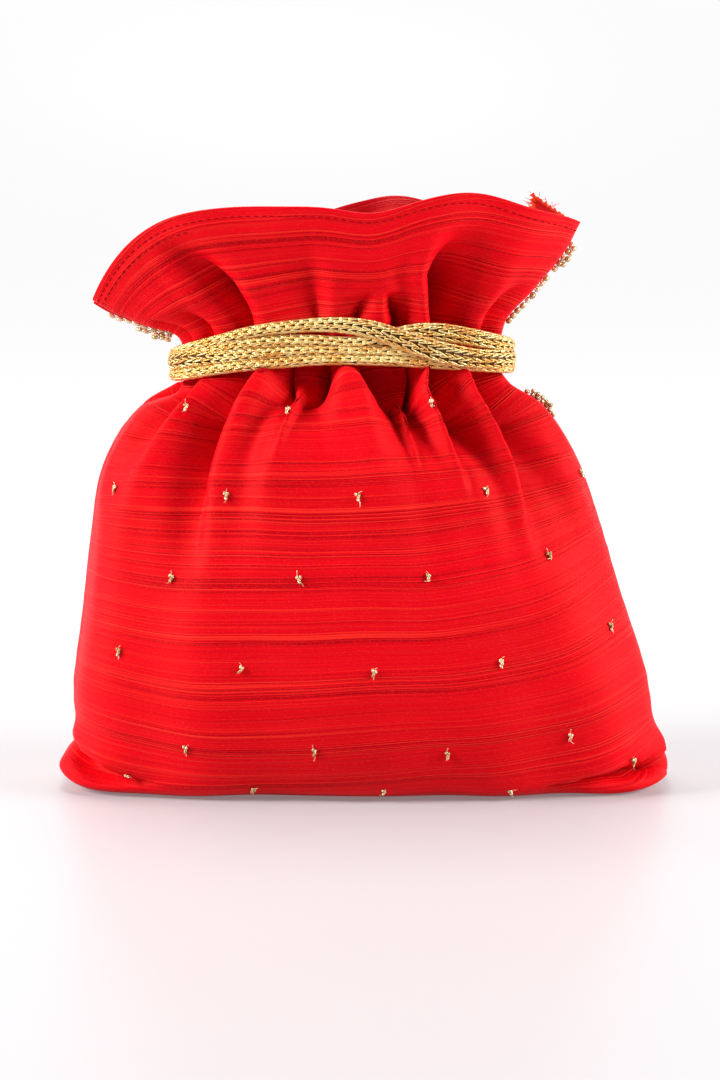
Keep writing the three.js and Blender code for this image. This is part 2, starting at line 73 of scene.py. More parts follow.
# %% [markdown]
# ## Meshes from arrays
# Every new piece is a surface worked out with numpy, so a few helpers turn arrays into meshes: the
# quads of a grid, a closed skin over rings, a shape turned on a lathe, and many copies of one small
# shape. `make_piece` writes the arrays into a mesh whose object stays at the origin.


# %% Helpers that turn arrays into meshes
def grid_quads(rows, columns, wrap=False):
    """Quads between neighbouring points of a grid kept row by row. Wrap joins the last column to
    the first."""
    index = np.arange(rows * columns).reshape(rows, columns)
    right = np.roll(index, -1, axis=1)
    if not wrap:
        index, right = index[:, :-1], right[:, :-1]
    return np.stack([index[:-1], right[:-1], right[1:], index[1:]], axis=-1).reshape(-1, 4)


def capped_rings(rings):
    """A closed skin over rings of points (ring, side, xyz): quads between rings, and a fan to the middle
    of the first and of the last ring."""
    count, sides = rings.shape[:2]
    points = np.concatenate([rings.reshape(-1, 3), rings[:1].mean(1), rings[-1:].mean(1)])
    around = np.arange(sides)
    ahead = np.roll(around, -1)
    last = (count - 1) * sides
    low = np.stack([np.full(sides, count * sides), ahead, around], axis=-1)
    high = np.stack([np.full(sides, count * sides + 1), around + last, ahead + last], axis=-1)
    return points, [grid_quads(count, sides, wrap=True), low, high]


def turned(profile, sides):
    """A lathe shape: each (radius, height) of the profile becomes a ring round the local Z axis."""
    profile = np.asarray(profile, float)
    angle = 2 * np.pi * np.arange(sides) / sides
    ring = np.stack([np.cos(angle), np.sin(angle), np.zeros(sides)], axis=-1)
    rings = profile[:, :1, None] * ring + profile[:, 1, None, None] * np.array([0, 0, 1.0])
    return capped_rings(rings)


def copies(shape, origins, axes):
    """One shape set at many places: local x, y, z run along the three rows of each place's axes."""
    points, faces = shape
    placed = origins[:, None, :] + np.einsum("pi,kij->kpj", points, axes)
    shift = np.arange(len(origins))[:, None, None] * len(points)
    return placed.reshape(-1, 3), [(f[None] + shift).reshape(-1, f.shape[1]) for f in faces]


def joined(shapes):
    """Several (points, faces) shapes as one."""
    starts = np.cumsum([0] + [len(points) for points, _ in shapes[:-1]])
    faces = [f + start for (_, group), start in zip(shapes, starts) for f in group]
    return np.concatenate([points for points, _ in shapes]), faces


def unit(vectors):
    """Vectors divided by their lengths."""
    return vectors / np.maximum(np.linalg.norm(vectors, axis=-1, keepdims=True), 1e-12)


def run_of(path):
    """Length along a path at each of its points."""
    return np.concatenate([[0], np.cumsum(np.linalg.norm(np.diff(path, axis=0), axis=1))])


def make_piece(name, points, faces, finish, attributes=None):
    """Writes points in millimetres and arrays of faces into a smooth mesh that rides on the pouch."""
    mesh = bpy.data.meshes.new(name)
    corners = np.concatenate([f.ravel() for f in faces]).astype(np.int32)
    sizes = np.concatenate([np.full(len(f), f.shape[1]) for f in faces])
    starts = np.concatenate([[0], np.cumsum(sizes)[:-1]]).astype(np.int32)
    mesh.vertices.add(len(points))
    mesh.vertices.foreach_set("co", (points * MM).astype(np.float32).ravel())
    mesh.loops.add(len(corners))
    mesh.loops.foreach_set("vertex_index", corners)
    mesh.polygons.add(len(starts))
    mesh.polygons.foreach_set("loop_start", starts)
    mesh.polygons.foreach_set("use_smooth", np.ones(len(starts), bool))
    mesh.update(calc_edges=True)
    mesh.validate()
    for label, values in (attributes or {}).items():
        layer = mesh.attributes.new(label, "FLOAT_VECTOR", "POINT")
        layer.data.foreach_set("vector", values.astype(np.float32).ravel())
    mesh.materials.append(finish)
    piece = bpy.data.objects.new(name, mesh)
    bpy.context.scene.collection.objects.link(piece)
    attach(piece, "root")
    print(name + ":", len(points), "points,", int((sizes - 2).sum()), "triangles")
    return piece


# %% [markdown]
# ## Shader maths as expressions
# A material is a graph of nodes, and sums are easier to read as Python. `Value` wraps one socket
# and its operators add Math nodes. `Finish` is one material, and its `node` method adds any other
# node: first the settings, then the sockets, which take numbers, colours or other values.


# %% Helpers that write materials
class Value:
    """One output socket of a material, with arithmetic."""

    def __init__(self, finish, socket):
        self.finish = finish
        self.socket = socket

    def math(self, operation, first, second):
        """A Math node on two values or numbers."""
        return self.finish.node("ShaderNodeMath", {"operation": operation}, {0: first, 1: second})

    def __add__(self, other):
        return self.math("ADD", self, other)

    __radd__ = __add__

    def __sub__(self, other):
        return self.math("SUBTRACT", self, other)

    def __rsub__(self, other):
        return self.math("SUBTRACT", other, self)

    def __mul__(self, other):
        return self.math("MULTIPLY", self, other)

    __rmul__ = __mul__


class Finish:
    """A procedural material around one Principled shader."""

    def __init__(self, name, constants):
        self.material = bpy.data.materials.new(name)
        self.material.use_nodes = True
        self.tree = self.material.node_tree
        self.shader = next(n for n in self.tree.nodes if n.type == "BSDF_PRINCIPLED")
        self.surface(constants)

    def node(self, kind, settings=None, sockets=None, output=0):
        """Adds a node, sets it, feeds its sockets, and returns one of its outputs."""
        node = self.tree.nodes.new(kind)
        for name, value in (settings or {}).items():
            setattr(node, name, value)
        for key, value in (sockets or {}).items():
            self.feed(node.inputs[key], value)
        return Value(self, node.outputs[output])

    def feed(self, socket, value):
        """Links a value to a socket, or sets the socket to a number or a colour."""
        if isinstance(value, Value):
            self.tree.links.new(value.socket, socket)
        else:
            socket.default_value = value

    def surface(self, values):
        """Feeds the Principled shader's sockets by name."""
        for socket, value in values.items():
            self.feed(self.shader.inputs[socket], value)

    def attribute(self, name):
        """A vector that each point of the mesh carries."""
        return self.node("ShaderNodeAttribute", {"attribute_name": name}, output="Vector")

    def object_place(self):
        """A point's place on its object, in metres."""
        return self.node("ShaderNodeTexCoord", output="Object")

    def parts(self, vector):
        """The x, y and z of a vector."""
        return [self.node("ShaderNodeSeparateXYZ", None, {0: vector}, output=axis) for axis in "XYZ"]

    def place(self, x, y, z):
        """A vector of three values."""
        return self.node("ShaderNodeCombineXYZ", None, {0: x, 1: y, 2: z})

    def noise(self, vector, scale=1.0, detail=2.0, roughness=0.5):
        """Noise between 0 and 1, with so many cells to a unit of the vector."""
        sockets = {"Vector": vector, "Scale": scale, "Detail": detail, "Roughness": roughness}
        return self.node("ShaderNodeTexNoise", None, sockets)

    def step(self, value, low, high):
        """0 below low, 1 above high, and a smooth slope between."""
        sockets = {0: value, 1: low, 2: high}
        return self.node("ShaderNodeMapRange", {"interpolation_type": "SMOOTHSTEP"}, sockets)

    def blend(self, share, first, second):
        """The first colour at a share of 0 and the second at 1, by the Mix node's colour sockets."""
        return self.node("ShaderNodeMix", {"data_type": "RGBA"}, {0: share, 6: first, 7: second}, output=2)

    def bump(self, height, distance, strength):
        """The surface's normal, tilted as a height times a distance would tilt it."""
        sockets = {"Strength": strength, "Distance": distance, "Height": height}
        return self.node("ShaderNodeBump", None, sockets)


# %% [markdown]
# ## Slubbed silk
# Raw silk has uneven weft threads. They run across the cloth as long pale crests beside dark dotted
# grooves, gathered in bands, and rise a little to the right. The pattern is painted on the flat
# cloth: each point of a panel carries its place in the cut, in millimetres, as an attribute, so the
# lines bend with the cloth. Noise stretched along the weft gives lines of uneven length.

# %% The silk
RED = (0.83, 0.0005, 0.0095, 1)
RED_BRIGHT = (1.0, 0.030, 0.020, 1)
RED_DEEP = (0.70, 0.0004, 0.0070, 1)
RED_GROOVE = (0.34, 0.0002, 0.0045, 1)
# Painted shade: the colour towards which the inner face and the cloth deep in folds are blended
RED_PAINTED_SHADE = (0.34, 0.0010, 0.0050, 1)
WEFT_SLANT, WEFT_WANDER = 0.035, 9.0


def silk_finish(name, line_strength, rough):
    """Red silk: noise stretched along the weft of the flat cloth gives thick yarns whose crests are
    pale and whose grooves are dark, gathered in bands, with thin threads, short specks and a fine
    grain between them. The weft is the height in the cut less a slant, plus a slow wander."""
    silk = Finish(name, {"Specular IOR Level": 0.19, "Specular Tint": (1.0, 0.26, 0.14, 1)})
    # The third number of cut is a share of painted shade
    across, up, painted_shade = silk.parts(silk.attribute("cut"))
    wander = silk.noise(silk.place(across * 0.012, up * 0.012, 3.0), detail=1.0)
    weft = up - across * WEFT_SLANT + wander * WEFT_WANDER

    def lines(along, over, layer, detail=0.0, roughness=0.5):
        """Noise with so many cells to a millimetre along the weft and over it."""
        stretched = silk.place(across * along, weft * over, layer)
        return silk.noise(stretched, detail=detail, roughness=roughness)

    bands = silk.step(lines(0.001, 0.2, 1.0, detail=2.0), 0.44, 0.57)
    yarn = lines(0.005, 2.2, 7.0)
    dots = silk.step(lines(2.0, 0.8, 5.0), 0.38, 0.56)
    crests = silk.step(yarn, 0.58, 0.66) * (bands * 0.88 + 0.12)
    grooves = silk.step(1.0 - yarn, 0.56, 0.62) * (bands * 0.9 + 0.1) * (dots * 0.6 + 0.4)
    threads = silk.step(lines(0.007, 2.6, 2.0), 0.62, 0.72)
    specks = silk.step(lines(0.9, 3.2, 5.0), 0.66, 0.76)
    grain = lines(0.9, 4.0, 9.0, detail=2.0, roughness=0.7)
    cloud = silk.noise(silk.place(across * 0.015, up * 0.03, 4.0), detail=2.0)
    ground = silk.blend(silk.step(grain * 0.5 + cloud * 0.5, 0.34, 0.62), RED_DEEP, RED)
    grooved = silk.blend(grooves * line_strength, ground, RED_GROOVE)
    pale = (crests * 0.9 + threads * 0.3 + specks * 0.5) * line_strength
    height = yarn * (bands * 1.2 + 0.2) + threads * 0.2 + grain * 0.3
    silk.surface({
        "Base Color": silk.blend(painted_shade, silk.blend(pale, grooved, RED_BRIGHT), RED_PAINTED_SHADE),
        "Roughness": rough - pale * 0.08 + grain * 0.08,
        "Normal": silk.bump(height, 0.00035, 0.9),
    })
    return silk.material


silk_cloth = silk_finish("silk", line_strength=0.85, rough=0.5)
print("material:", silk_cloth.name)

# %% [markdown]
# ## The outline of the pouch
# The two panels are sewn round three sides, so each is a square of cloth. A point of a panel has
# two coordinates: u runs from the left seam to the right seam, and v counts the sections of the
# outline from the bottom seam to the rim. A section gives both seams, the middle of the panel, how
# square its plan is and how late its rows climb to the seams. A smooth curve through the sections
# gives the surface that the crests of the gathers reach. They are the CAD's own sections, apart from
# the bottom corners, which are rounder here, and the rim, which leans out a little less.

# %% The outline
SEAM_GAP = 0.3
NECK_LOW, NECK_HIGH, RIM = 8, 9, 12
NECK_HEIGHT = 166.0
NECK_BAND = 19.1
NECK_LEFT, NECK_RIGHT, NECK_DEPTH, NECK_SQUARE = -67.7, 52.3, 20.0, 0.8
DROP_LEFT, DROP_RIGHT = 8.0, 3.0
RIM_LEFT, RIM_RIGHT = (-100.6, 182), (79.8, 211)
RIM_MIDDLE, RIM_LEAN = 216, 9
FRONT, BACK = -1, 1


def ruffle_section(out, up, climb):
    """A section between the top of the neck (0) and the rim (1): how far out and how far up."""
    high = NECK_HEIGHT + NECK_BAND / 2
    left_x = NECK_LEFT + out * (RIM_LEFT[0] - NECK_LEFT)
    left_z = high - DROP_LEFT + up * (RIM_LEFT[1] - high + DROP_LEFT)
    right_x = NECK_RIGHT + out * (RIM_RIGHT[0] - NECK_RIGHT)
    right_z = high - DROP_RIGHT + up * (RIM_RIGHT[1] - high + DROP_RIGHT)
    depth, middle_z = NECK_DEPTH + out * RIM_LEAN, high + up * (RIM_MIDDLE - high)
    return left_x, left_z, right_x, right_z, depth, middle_z, NECK_SQUARE, climb


low = NECK_HEIGHT - NECK_BAND / 2
SECTIONS = np.array([
    # left x, left z, right x, right z, middle depth, middle z, square, climb
    (-108.0, 0.5, 110.0, 0.5, 0, -3, 0.32, 16),
    (-114.4, 8.5, 115.2, 8, 31, 0.8, 0.32, 16),
    (-108.4, 19.5, 109.2, 24, 41, 9, 0.5, 4),
    (-109.3, 39, 105.6, 45, 46.5, 29, 0.6, 3),
    (-105.9, 66, 96.3, 74, 48, 58, 0.7, 2.7),
    (-102.6, 94, 88.3, 101, 45.5, 88, 0.8, 2.7),
    (-97.8, 120, 79.8, 124, 42, 121, 0.85, 2.5),
    (-84.3, 141, 67.3, 143, 33, 147, 0.85, 2),
    (NECK_LEFT, low - DROP_LEFT, NECK_RIGHT, low - DROP_RIGHT, NECK_DEPTH, low, NECK_SQUARE, 2),
    ruffle_section(0, 0, 2),
    ruffle_section(0.4, 0.36, 3),
    ruffle_section(0.78, 0.7, 4.6),
    ruffle_section(1, 1, 5.2),
])
# Lifts of the rim: panel side, u, half width, rise
RIM_LIFTS = [(FRONT, 0.68, 0.09, 5), (FRONT, 0.55, 0.05, -3),
             (BACK, 0.32, 0.24, -7), (BACK, 0.57, 0.09, 7), (BACK, 0.82, 0.14, -6)]


def smooth(t):
    """0 to 1 with level ends."""
    t = np.clip(t, 0, 1)
    return t * t * (3 - 2 * t)


def bell(x):
    """exp(-x squared): 1 at 0, and nearly 0 from 2 on."""
    return np.exp(-x * x)


def along(values, v):
    """A smooth curve through one value per section: cubics whose slopes are half the step between
    the neighbours."""
    values = np.concatenate([[2 * values[0] - values[1]], values, [2 * values[-1] - values[-2]]])
    k = np.clip(np.floor(v).astype(int), 0, len(values) - 4)
    t = v - k
    before, here, there, after = (values[k + i] for i in range(4))
    slope, slope_there = (there - before) / 2, (after - here) / 2
    rise = there - here
    square_term, cube_term = 3 * rise - 2 * slope - slope_there, slope + slope_there - 2 * rise
    return here + t * (slope + t * (square_term + t * cube_term))


def envelope(side, u, v):
    """The panel without its gathers: across runs from 1 at the left seam to -1 at the right, the plan is a
    squared ellipse, and rows climb from the middle to the seams by a power of across."""
    u, v = np.broadcast_arrays(u, v)
    left_x, left_z, right_x, right_z, depth, middle_z, square, climb = (along(c, v) for c in SECTIONS.T)
    across = np.cos(np.pi * u)
    seam_z = np.where(across > 0, left_z, right_z)
    x = (left_x + right_x) / 2 - (right_x - left_x) / 2 * across
    y = side * (SEAM_GAP / 2 + depth * np.maximum(0, np.sin(np.pi * u)) ** square)
    z = middle_z + (seam_z - middle_z) * np.abs(across) ** climb
    rise = sum(lift * bell((u - at) / half) for owner, at, half, lift in RIM_LIFTS if owner == side)
    return np.stack([x, y, z + rise * smooth((v - NECK_HIGH) / (RIM - NECK_HIGH))], axis=-1)


print("outline:", len(SECTIONS), "sections, rim at", SECTIONS[-1, 5], "mm")

# %% [markdown]
# ## Gathers
# Where the cord draws the neck in, the spare width of the cloth folds into rounded ridges with a
# narrow valley between each pair. A valley is a line that starts at the cord and fades as it runs
# away from it. Between two valleys the cloth arches: a power of a sine gives a round ridge with
# sharp valleys at the cord, and a soft wave further away. Some ridges stay sunk, as pockets behind
# their neighbours. The valleys below and above the cord are two lists that meet, hidden, under it.

# %% The gathers
# Sections away from the cord at which a valley's three u values are given
BODY_REACH, RUFFLE_REACH = (0, 0.75, 2), (0, 1, 3)
# Three u values, depth, sections that it runs, softness, then how far the ridge on its right
# stays sunk and for how many sections
BODY_VALLEYS = {
    FRONT: [(0.170, 0.207, 0.168, 9, 2.6, 0.8, 0, 1), (0.334, 0.308, 0.304, 18, 3.6, 0.5, 0, 1),
            (0.388, 0.426, 0.408, 13, 2.0, 0.55, 9, 1.8), (0.472, 0.440, 0.424, 13, 1.9, 0.55, 0, 1),
            (0.541, 0.584, 0.598, 14, 2.2, 0.5, 10, 2.0), (0.652, 0.602, 0.612, 14, 2.2, 0.5, 0, 1),
            (0.677, 0.655, 0.682, 20, 2.6, 0.5, 0, 1), (0.776, 0.758, 0.779, 17, 3.6, 0.45, 0, 1)],
    BACK: [(0.060, 0.059, 0.058, 6, 1.6, 0.7, 0, 1), (0.160, 0.159, 0.155, 13, 2.8, 0.5, 0, 1),
           (0.260, 0.256, 0.250, 11, 1.8, 0.5, 0, 1), (0.350, 0.348, 0.340, 17, 3.4, 0.45, 0, 1),
           (0.430, 0.452, 0.458, 14, 1.6, 0.5, 10, 1.2), (0.500, 0.476, 0.468, 14, 1.6, 0.5, 0, 1),
           (0.590, 0.591, 0.594, 17, 3.6, 0.45, 0, 1), (0.680, 0.684, 0.690, 12, 1.8, 0.5, 0, 1),
           (0.770, 0.773, 0.780, 16, 3.2, 0.45, 0, 1), (0.860, 0.866, 0.875, 10, 2.0, 0.55, 0, 1),
           (0.940, 0.942, 0.945, 5, 1.5, 0.7, 0, 1)],
}
RUFFLE_VALLEYS = {
    FRONT: [(0.090, 0.080, 0.070, 4, 1.2, 0.7, 0, 1), (0.190, 0.180, 0.160, 8, 0.9, 0.5, 0, 1),
            (0.294, 0.290, 0.230, 15, 2.7, 0.45, 0, 1), (0.448, 0.450, 0.441, 5, 2.6, 1.1, 0, 1),
            (0.527, 0.562, 0.564, 8, 0.75, 0.45, 0, 1), (0.610, 0.568, 0.568, 12, 0.75, 0.45, 0, 1),
            (0.703, 0.674, 0.690, 19, 2.3, 0.5, 0, 1), (0.860, 0.880, 0.900, 6, 1.3, 0.55, 0, 1)],
    BACK: [(0.080, 0.073, 0.060, 6, 1.6, 0.55, 0, 1), (0.180, 0.167, 0.140, 13, 4.4, 0.5, 0, 1),
           (0.280, 0.277, 0.270, 10, 1.6, 0.5, 0, 1), (0.375, 0.370, 0.360, 15, 4.6, 0.5, 0, 1),
           (0.470, 0.470, 0.470, 11, 1.4, 0.5, 6, 0.8), (0.565, 0.573, 0.590, 14, 3.6, 0.5, 0, 1),
           (0.670, 0.683, 0.710, 11, 1.8, 0.5, 0, 1), (0.780, 0.800, 0.840, 14, 4.4, 0.5, 0, 1),
           (0.910, 0.918, 0.935, 5, 1.4, 0.55, 0, 1)],
}
# Creases that set off the bottom corners: u values, the v of the lip at each, its height and its depth
CORNER_CREASES = [((0.0, 0.08, 0.16, 0.28), (2.0, 1.88, 1.80, 1.80), 0.50, 11.0),
                  ((0.68, 0.76, 0.84, 1.0), (1.58, 1.74, 1.77, 1.40), 0.65, 13.0)]
# How far the cloth over a crease bulges
LIP = 2.0
# How far a full valley is pushed in under its ridge, and the depth that counts as full
LEAN, FULL_DEPTH = 4.5, 15
# The share by which a valley is deeper one section away from the cord
SWELL = 0.5
# How far ridges billow out just below the cord, and the v at which that starts
BILLOW, BILLOW_START = 7.0, 8.24
# How far the crests lean towards the side seams
SKEW, RUFFLE_SKEW = 0.34, 0.16


def arches(u, lines, depths, sinks, powers, skew):
    """Cloth between neighbouring valley lines: w runs from 0 to 1 across a ridge, the press is the
    valleys' depth at w = 0 and 1 and the sink at the crest, and sin(pi w) to a power goes between
    them. A power of w first moves the crest towards the nearer side seam, so that ridges overlap
    like shingles away from the middle. Returns the press, the height of the crests and the depth
    of the valleys."""
    press, crest, floor = (np.zeros(np.shape(u)) for _ in range(3))
    for k, sink in enumerate(sinks):
        left, right = lines[k], lines[k + 1]
        w = (u - left) / np.maximum(right - left, 1e-6)
        inside = (w >= 0) & (w < 1)
        w = np.clip(w, 0, 1)
        top = 0.5 + skew * np.clip(6 * ((left + right) / 2 - 0.5), -1, 1)
        power = powers[k] + (powers[k + 1] - powers[k]) * smooth(w)
        arch = np.sin(np.pi * w ** (np.log(0.5) / np.log(top))) ** power
        deep = depths[k] + (depths[k + 1] - depths[k]) * smooth(w)
        sunk = np.minimum(sink, deep)
        press = np.where(inside, deep + (sunk - deep) * arch, press)
        crest = np.where(inside, (deep - sunk) * arch, crest)
        floor = np.where(inside, deep * (1 - arch), floor)
    return press, crest, floor


def fold_list(u, rows, reach, away, share, skew):
    """One list of valleys at places so many sections away from the cord."""
    zero = np.zeros(np.shape(u))
    swell = 1 + SWELL * np.minimum(away, 1)
    lines = [zero] + [np.interp(away, reach, row[:3]) for row in rows] + [zero + 1]
    depths = [zero] + [row[3] * swell * smooth(1 - away / row[4]) * share for row in rows] + [zero]
    powers = [zero + 1] + [np.minimum(row[5] + 0.6 * away, 2.2) for row in rows] + [zero + 1]
    sinks = [zero] + [row[6] * smooth(1 - away / row[7]) * share for row in rows]
    return arches(u, lines, depths, sinks, powers, skew)


def gathers(side, u, v):
    """All gathers at (u, v): the press along the inward normal, and the push along u that draws the
    valleys in under the ridges."""
    below, above = np.maximum(0, NECK_LOW - v), np.maximum(0, v - NECK_HIGH)
    body_skew, ruffle_skew = SKEW * smooth(1.2 - below / 4), RUFFLE_SKEW * smooth(1.2 - above / 2.4)
    body = fold_list(u, BODY_VALLEYS[side], BODY_REACH, below, smooth(NECK_HIGH - v), body_skew)
    ruffle = fold_list(u, RUFFLE_VALLEYS[side], RUFFLE_REACH, above, smooth(v - NECK_LOW), ruffle_skew)
    push = -LEAN * np.clip(2.4 * (2 * u - 1), -1, 1) * (body[2] + ruffle[2]) / FULL_DEPTH
    started = smooth((BILLOW_START - v) / 0.2) * bell((below - 0.15) / 0.6)
    billow = BILLOW * np.minimum(body[1] / FULL_DEPTH, 1) * started
    return body[0] + ruffle[0] - billow, push


def creases(u, v):
    """The press of the corner creases: nothing above the lip, a steep drop below it and a slow rise
    again, with the cloth over the lip bulging out. Both fade towards the middle of the panel."""
    press = 0
    for places, lips, height, depth in CORNER_CREASES:
        under = (np.interp(u, places, lips) - v) / height
        from_end = places[-1] - u if places[0] == 0 else u - places[0]
        drop = depth * smooth(under / 0.2) * smooth(1.15 - under)
        bulge = LIP * bell((under + 0.35) / 0.45)
        press = press + smooth(from_end / 0.14) * (drop - bulge)
    return press


print("gathers:", {side: len(BODY_VALLEYS[side]) + len(RUFFLE_VALLEYS[side]) for side in (FRONT, BACK)})

# %% [markdown]
# ## The cloth surface
# The pressed surface is still too clean for cloth, so slow ripples are added: a few sine waves of
# seeded direction and phase, in flat millimetres, strongest round the neck and at the seams. The
# base settles flat on the table.

# %% The cloth surface
BELLY_SECTION = 4.0
SLOW_SEED, SMALL_SEED, PUCKER_SEED = 11, 31, 51
# Waves, their length in millimetres and their stretch
SLOW_WAVES, SMALL_WAVES, PUCKER_WAVES = (5, 52, 2.5), (6, 17, 3.0), (4, 9, 1.0)
# Heights in millimetres. The second is what slow ripples gain round the neck
SLOW_HEIGHT, SLOW_GAIN, SMALL_HEIGHT, PUCKER_HEIGHT = 0.8, 0.3, 0.45, 0.35
middle_v = np.linspace(0, RIM, 601)
LENGTH_AT_V = run_of(envelope(FRONT, 0.5, middle_v))
belly_u = np.linspace(0, 1, 601)
WIDTH_AT_U = run_of(envelope(FRONT, belly_u, BELLY_SECTION))


def cut_place(u, v):
    """A point's place in the flat cut, in millimetres from its lower left corner."""
    return np.interp(u, belly_u, WIDTH_AT_U), np.interp(v, middle_v, LENGTH_AT_V)


def ripples(x, y, seed, count, length, stretch):
    """A sum of sine waves of about this length, with seeded slants and phases. Stretch draws them
    out in y."""
    rng = np.random.default_rng(seed)
    slant = rng.uniform(-0.7, 0.7, count)
    size = rng.uniform(0.7, 1.5, count) * 2 * np.pi / length
    phase = rng.uniform(0, 2 * np.pi, count)
    waves = [np.sin(k * (np.cos(a) * x + np.sin(a) * y / stretch) + p)
             for a, k, p in zip(slant, size, phase)]
    return sum(waves) / np.sqrt(count)


def cloth(side, u, v):
    """The outer face of a panel: the envelope, pressed in along its normal by gathers, creases and ripples,
    and pushed along u where ridges lean. Seams stay in the seam plane and the base on the table."""
    u, v = np.broadcast_arrays(np.asarray(u, float), np.asarray(v, float))
    step = 1e-3
    inner_u, inner_v = np.clip(u, 0.01, 0.99), np.clip(v, 0.05, RIM - step)
    along_u = unit(envelope(side, inner_u + step, inner_v) - envelope(side, inner_u - step, inner_v))
    along_v = unit(envelope(side, inner_u, inner_v + step) - envelope(side, inner_u, inner_v - step))
    inward = unit(np.cross(along_u, along_v)) * side
    across, up = cut_place(u, v)
    from_seam = np.minimum(u, 1 - u)
    edge = smooth(from_seam / 0.04)
    press, push = gathers(side, u, v)
    near_neck = bell((v - 7.2) / 2.2)
    slow = ripples(across, up, SLOW_SEED + side, *SLOW_WAVES) * (SLOW_HEIGHT + SLOW_GAIN * near_neck)
    small = ripples(across, up, SMALL_SEED + side, *SMALL_WAVES) * SMALL_HEIGHT * near_neck
    pucker = ripples(up, across, PUCKER_SEED + side, *PUCKER_WAVES) * PUCKER_HEIGHT * (1 - edge)
    press = press + creases(u, v) + slow * smooth(v / 2) + small + pucker * smooth(from_seam / 0.008)
    point = envelope(side, u, v) + (press * edge)[..., None] * inward + (push * edge)[..., None] * along_u
    seam = (u <= 0) | (u >= 1) | (v <= 0)
    point[..., 1] = np.where(seam, side * SEAM_GAP / 2, point[..., 1])
    point[..., 1] = side * np.maximum(side * point[..., 1], SEAM_GAP / 2)
    point[..., 2] = np.maximum(point[..., 2], 0)
    return point


print("cut:", round(WIDTH_AT_U[-1], 1), "by", round(LENGTH_AT_V[-1], 1), "mm along the outline")

# %% [markdown]
# ## The two panels
# A panel is a thin closed sheet: the outer face on a grid, an inner face one thickness behind it
# along the normals, and a strip along the four edges. Columns crowd towards the seams, and rows
# towards the neck and the hem. The hem is folded double, so the sheet is thicker there. The third
# number of the attribute `cut` is painted shade: the inner face, which lies in shade inside the pouch,
# is painted dark, and the cloth deep in gathers and creases is painted a little darker, as their
# shade, since the bright silk would otherwise fill them with its own red light.

# %% The panels
COLUMNS, ROWS = 276, 176
CLOTH_THICKNESS = 0.7
HEM_DEPTH = 7.0
HEM_EXTRA = 0.55
# Shares of painted shade on the inner face and in the deepest folds, then the press at which the fold shade
# starts and the millimetres over which it grows
INNER_SHADE, FOLD_SHADE = 0.8, 0.5
FOLD_SHADE_START, FOLD_SHADE_RUN = 4.0, 11.0


def shell_faces(rows, columns):
    """Faces of a closed sheet: the outer grid, the inner grid turned over, and a strip round the border."""
    outer = grid_quads(rows, columns)
    shift = rows * columns
    index = np.arange(shift).reshape(rows, columns)
    border = np.concatenate([index[0, :-1], index[:-1, -1], index[-1, :0:-1], index[:0:-1, 0]])
    ahead = np.roll(border, -1)
    strip = np.stack([ahead, border, border + shift, ahead + shift], axis=-1)
    return np.concatenate([outer, outer[:, ::-1] + shift, strip])


def spaced(weights, count):
    """count places from 0 to 1 whose spacing is one over the weights, given at even places."""
    run = np.concatenate([[0], np.cumsum(weights)])
    return np.interp(np.linspace(0, run[-1], count), run, np.linspace(0, 1, len(run)))


def grid_normals(side, points):
    """Outward unit normals of a panel's grid, from the steps between neighbours."""
    return unit(np.cross(np.gradient(points, axis=1), np.gradient(points, axis=0))) * -side


def panel_grid():
    """The u of the columns and the v of the rows."""
    place = np.linspace(0, 1, 400)
    u = spaced(1 + 5 * bell(place / 0.02) + 5 * bell((1 - place) / 0.02), COLUMNS)
    v = RIM * spaced(1 + 1.6 * bell((place * RIM - 8) / 1.4) + 0.8 * bell((place * RIM - 11.9) / 0.4), ROWS)
    return np.meshgrid(u, v)


def panel(name, side, node):
    """One panel of the pouch as a closed sheet that carries its place in the cut."""
    u, v = panel_grid()
    outer = cloth(side, u, v)
    across, up = cut_place(u, v)
    hem = smooth((up - LENGTH_AT_V[-1] + HEM_DEPTH) / 0.8)
    inner = outer - grid_normals(side, outer) * (CLOTH_THICKNESS + HEM_EXTRA * hem)[..., None]
    inner[..., 1] = side * np.maximum(side * inner[..., 1], SEAM_GAP / 2)
    points = np.concatenate([outer.reshape(-1, 3), inner.reshape(-1, 3)])
    faces = shell_faces(ROWS, COLUMNS)
    # Painted shade: darker deep in gathers and creases, and dark on the inner face
    deep = gathers(side, u, v)[0] + creases(u, v)
    painted_shade = FOLD_SHADE * smooth((deep - FOLD_SHADE_START) / FOLD_SHADE_RUN)
    cut = np.stack([across, up, painted_shade], axis=-1).reshape(-1, 3)
    piece = make_piece(name, points, [faces if side == FRONT else faces[:, ::-1]], silk_cloth,
                       {"cut": np.concatenate([cut, cut * (1, 1, 0) + (0, 0, INNER_SHADE)])})
    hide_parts(node)
    return piece


silk_front = panel("silk_front", FRONT, "front_panel")
silk_back = panel("silk_back", BACK, "back_panel")

# %% [markdown]
# ## Points and paths on the cloth
# Stitches, beads and threads all follow the cloth or hang from it. `cloth_frame` gives the
# directions of the cloth at a point, `evenly` walks a path in equal steps, and `tube` sweeps a round
# section along one. A spindle and a bead, each of a few dozen faces, are copied everywhere.

# %% Points and paths on the cloth
ASKEW = (0.13, 0.97, 0.21)


def cloth_frame(side, u, v):
    """The point of the cloth at (u, v), the unit directions across and up, and the outward normal."""
    step = 2e-3
    across = unit(cloth(side, np.minimum(u + step, 1), v) - cloth(side, np.maximum(u - step, 0), v))
    up = unit(cloth(side, u, np.minimum(v + step, RIM)) - cloth(side, u, np.maximum(v - step, 0)))
    return cloth(side, u, v), across, up, unit(np.cross(across, up)) * -side


def read_along(run, table, places):
    """Columns of a table given along a run, read at other places."""
    return np.stack([np.interp(places, run, column) for column in np.asarray(table).T], axis=-1)


def evenly(path, step):
    """A path again, as points one step apart."""
    run = run_of(path)
    return read_along(run, path, np.linspace(0, run[-1], max(2, int(round(run[-1] / step)) + 1)))


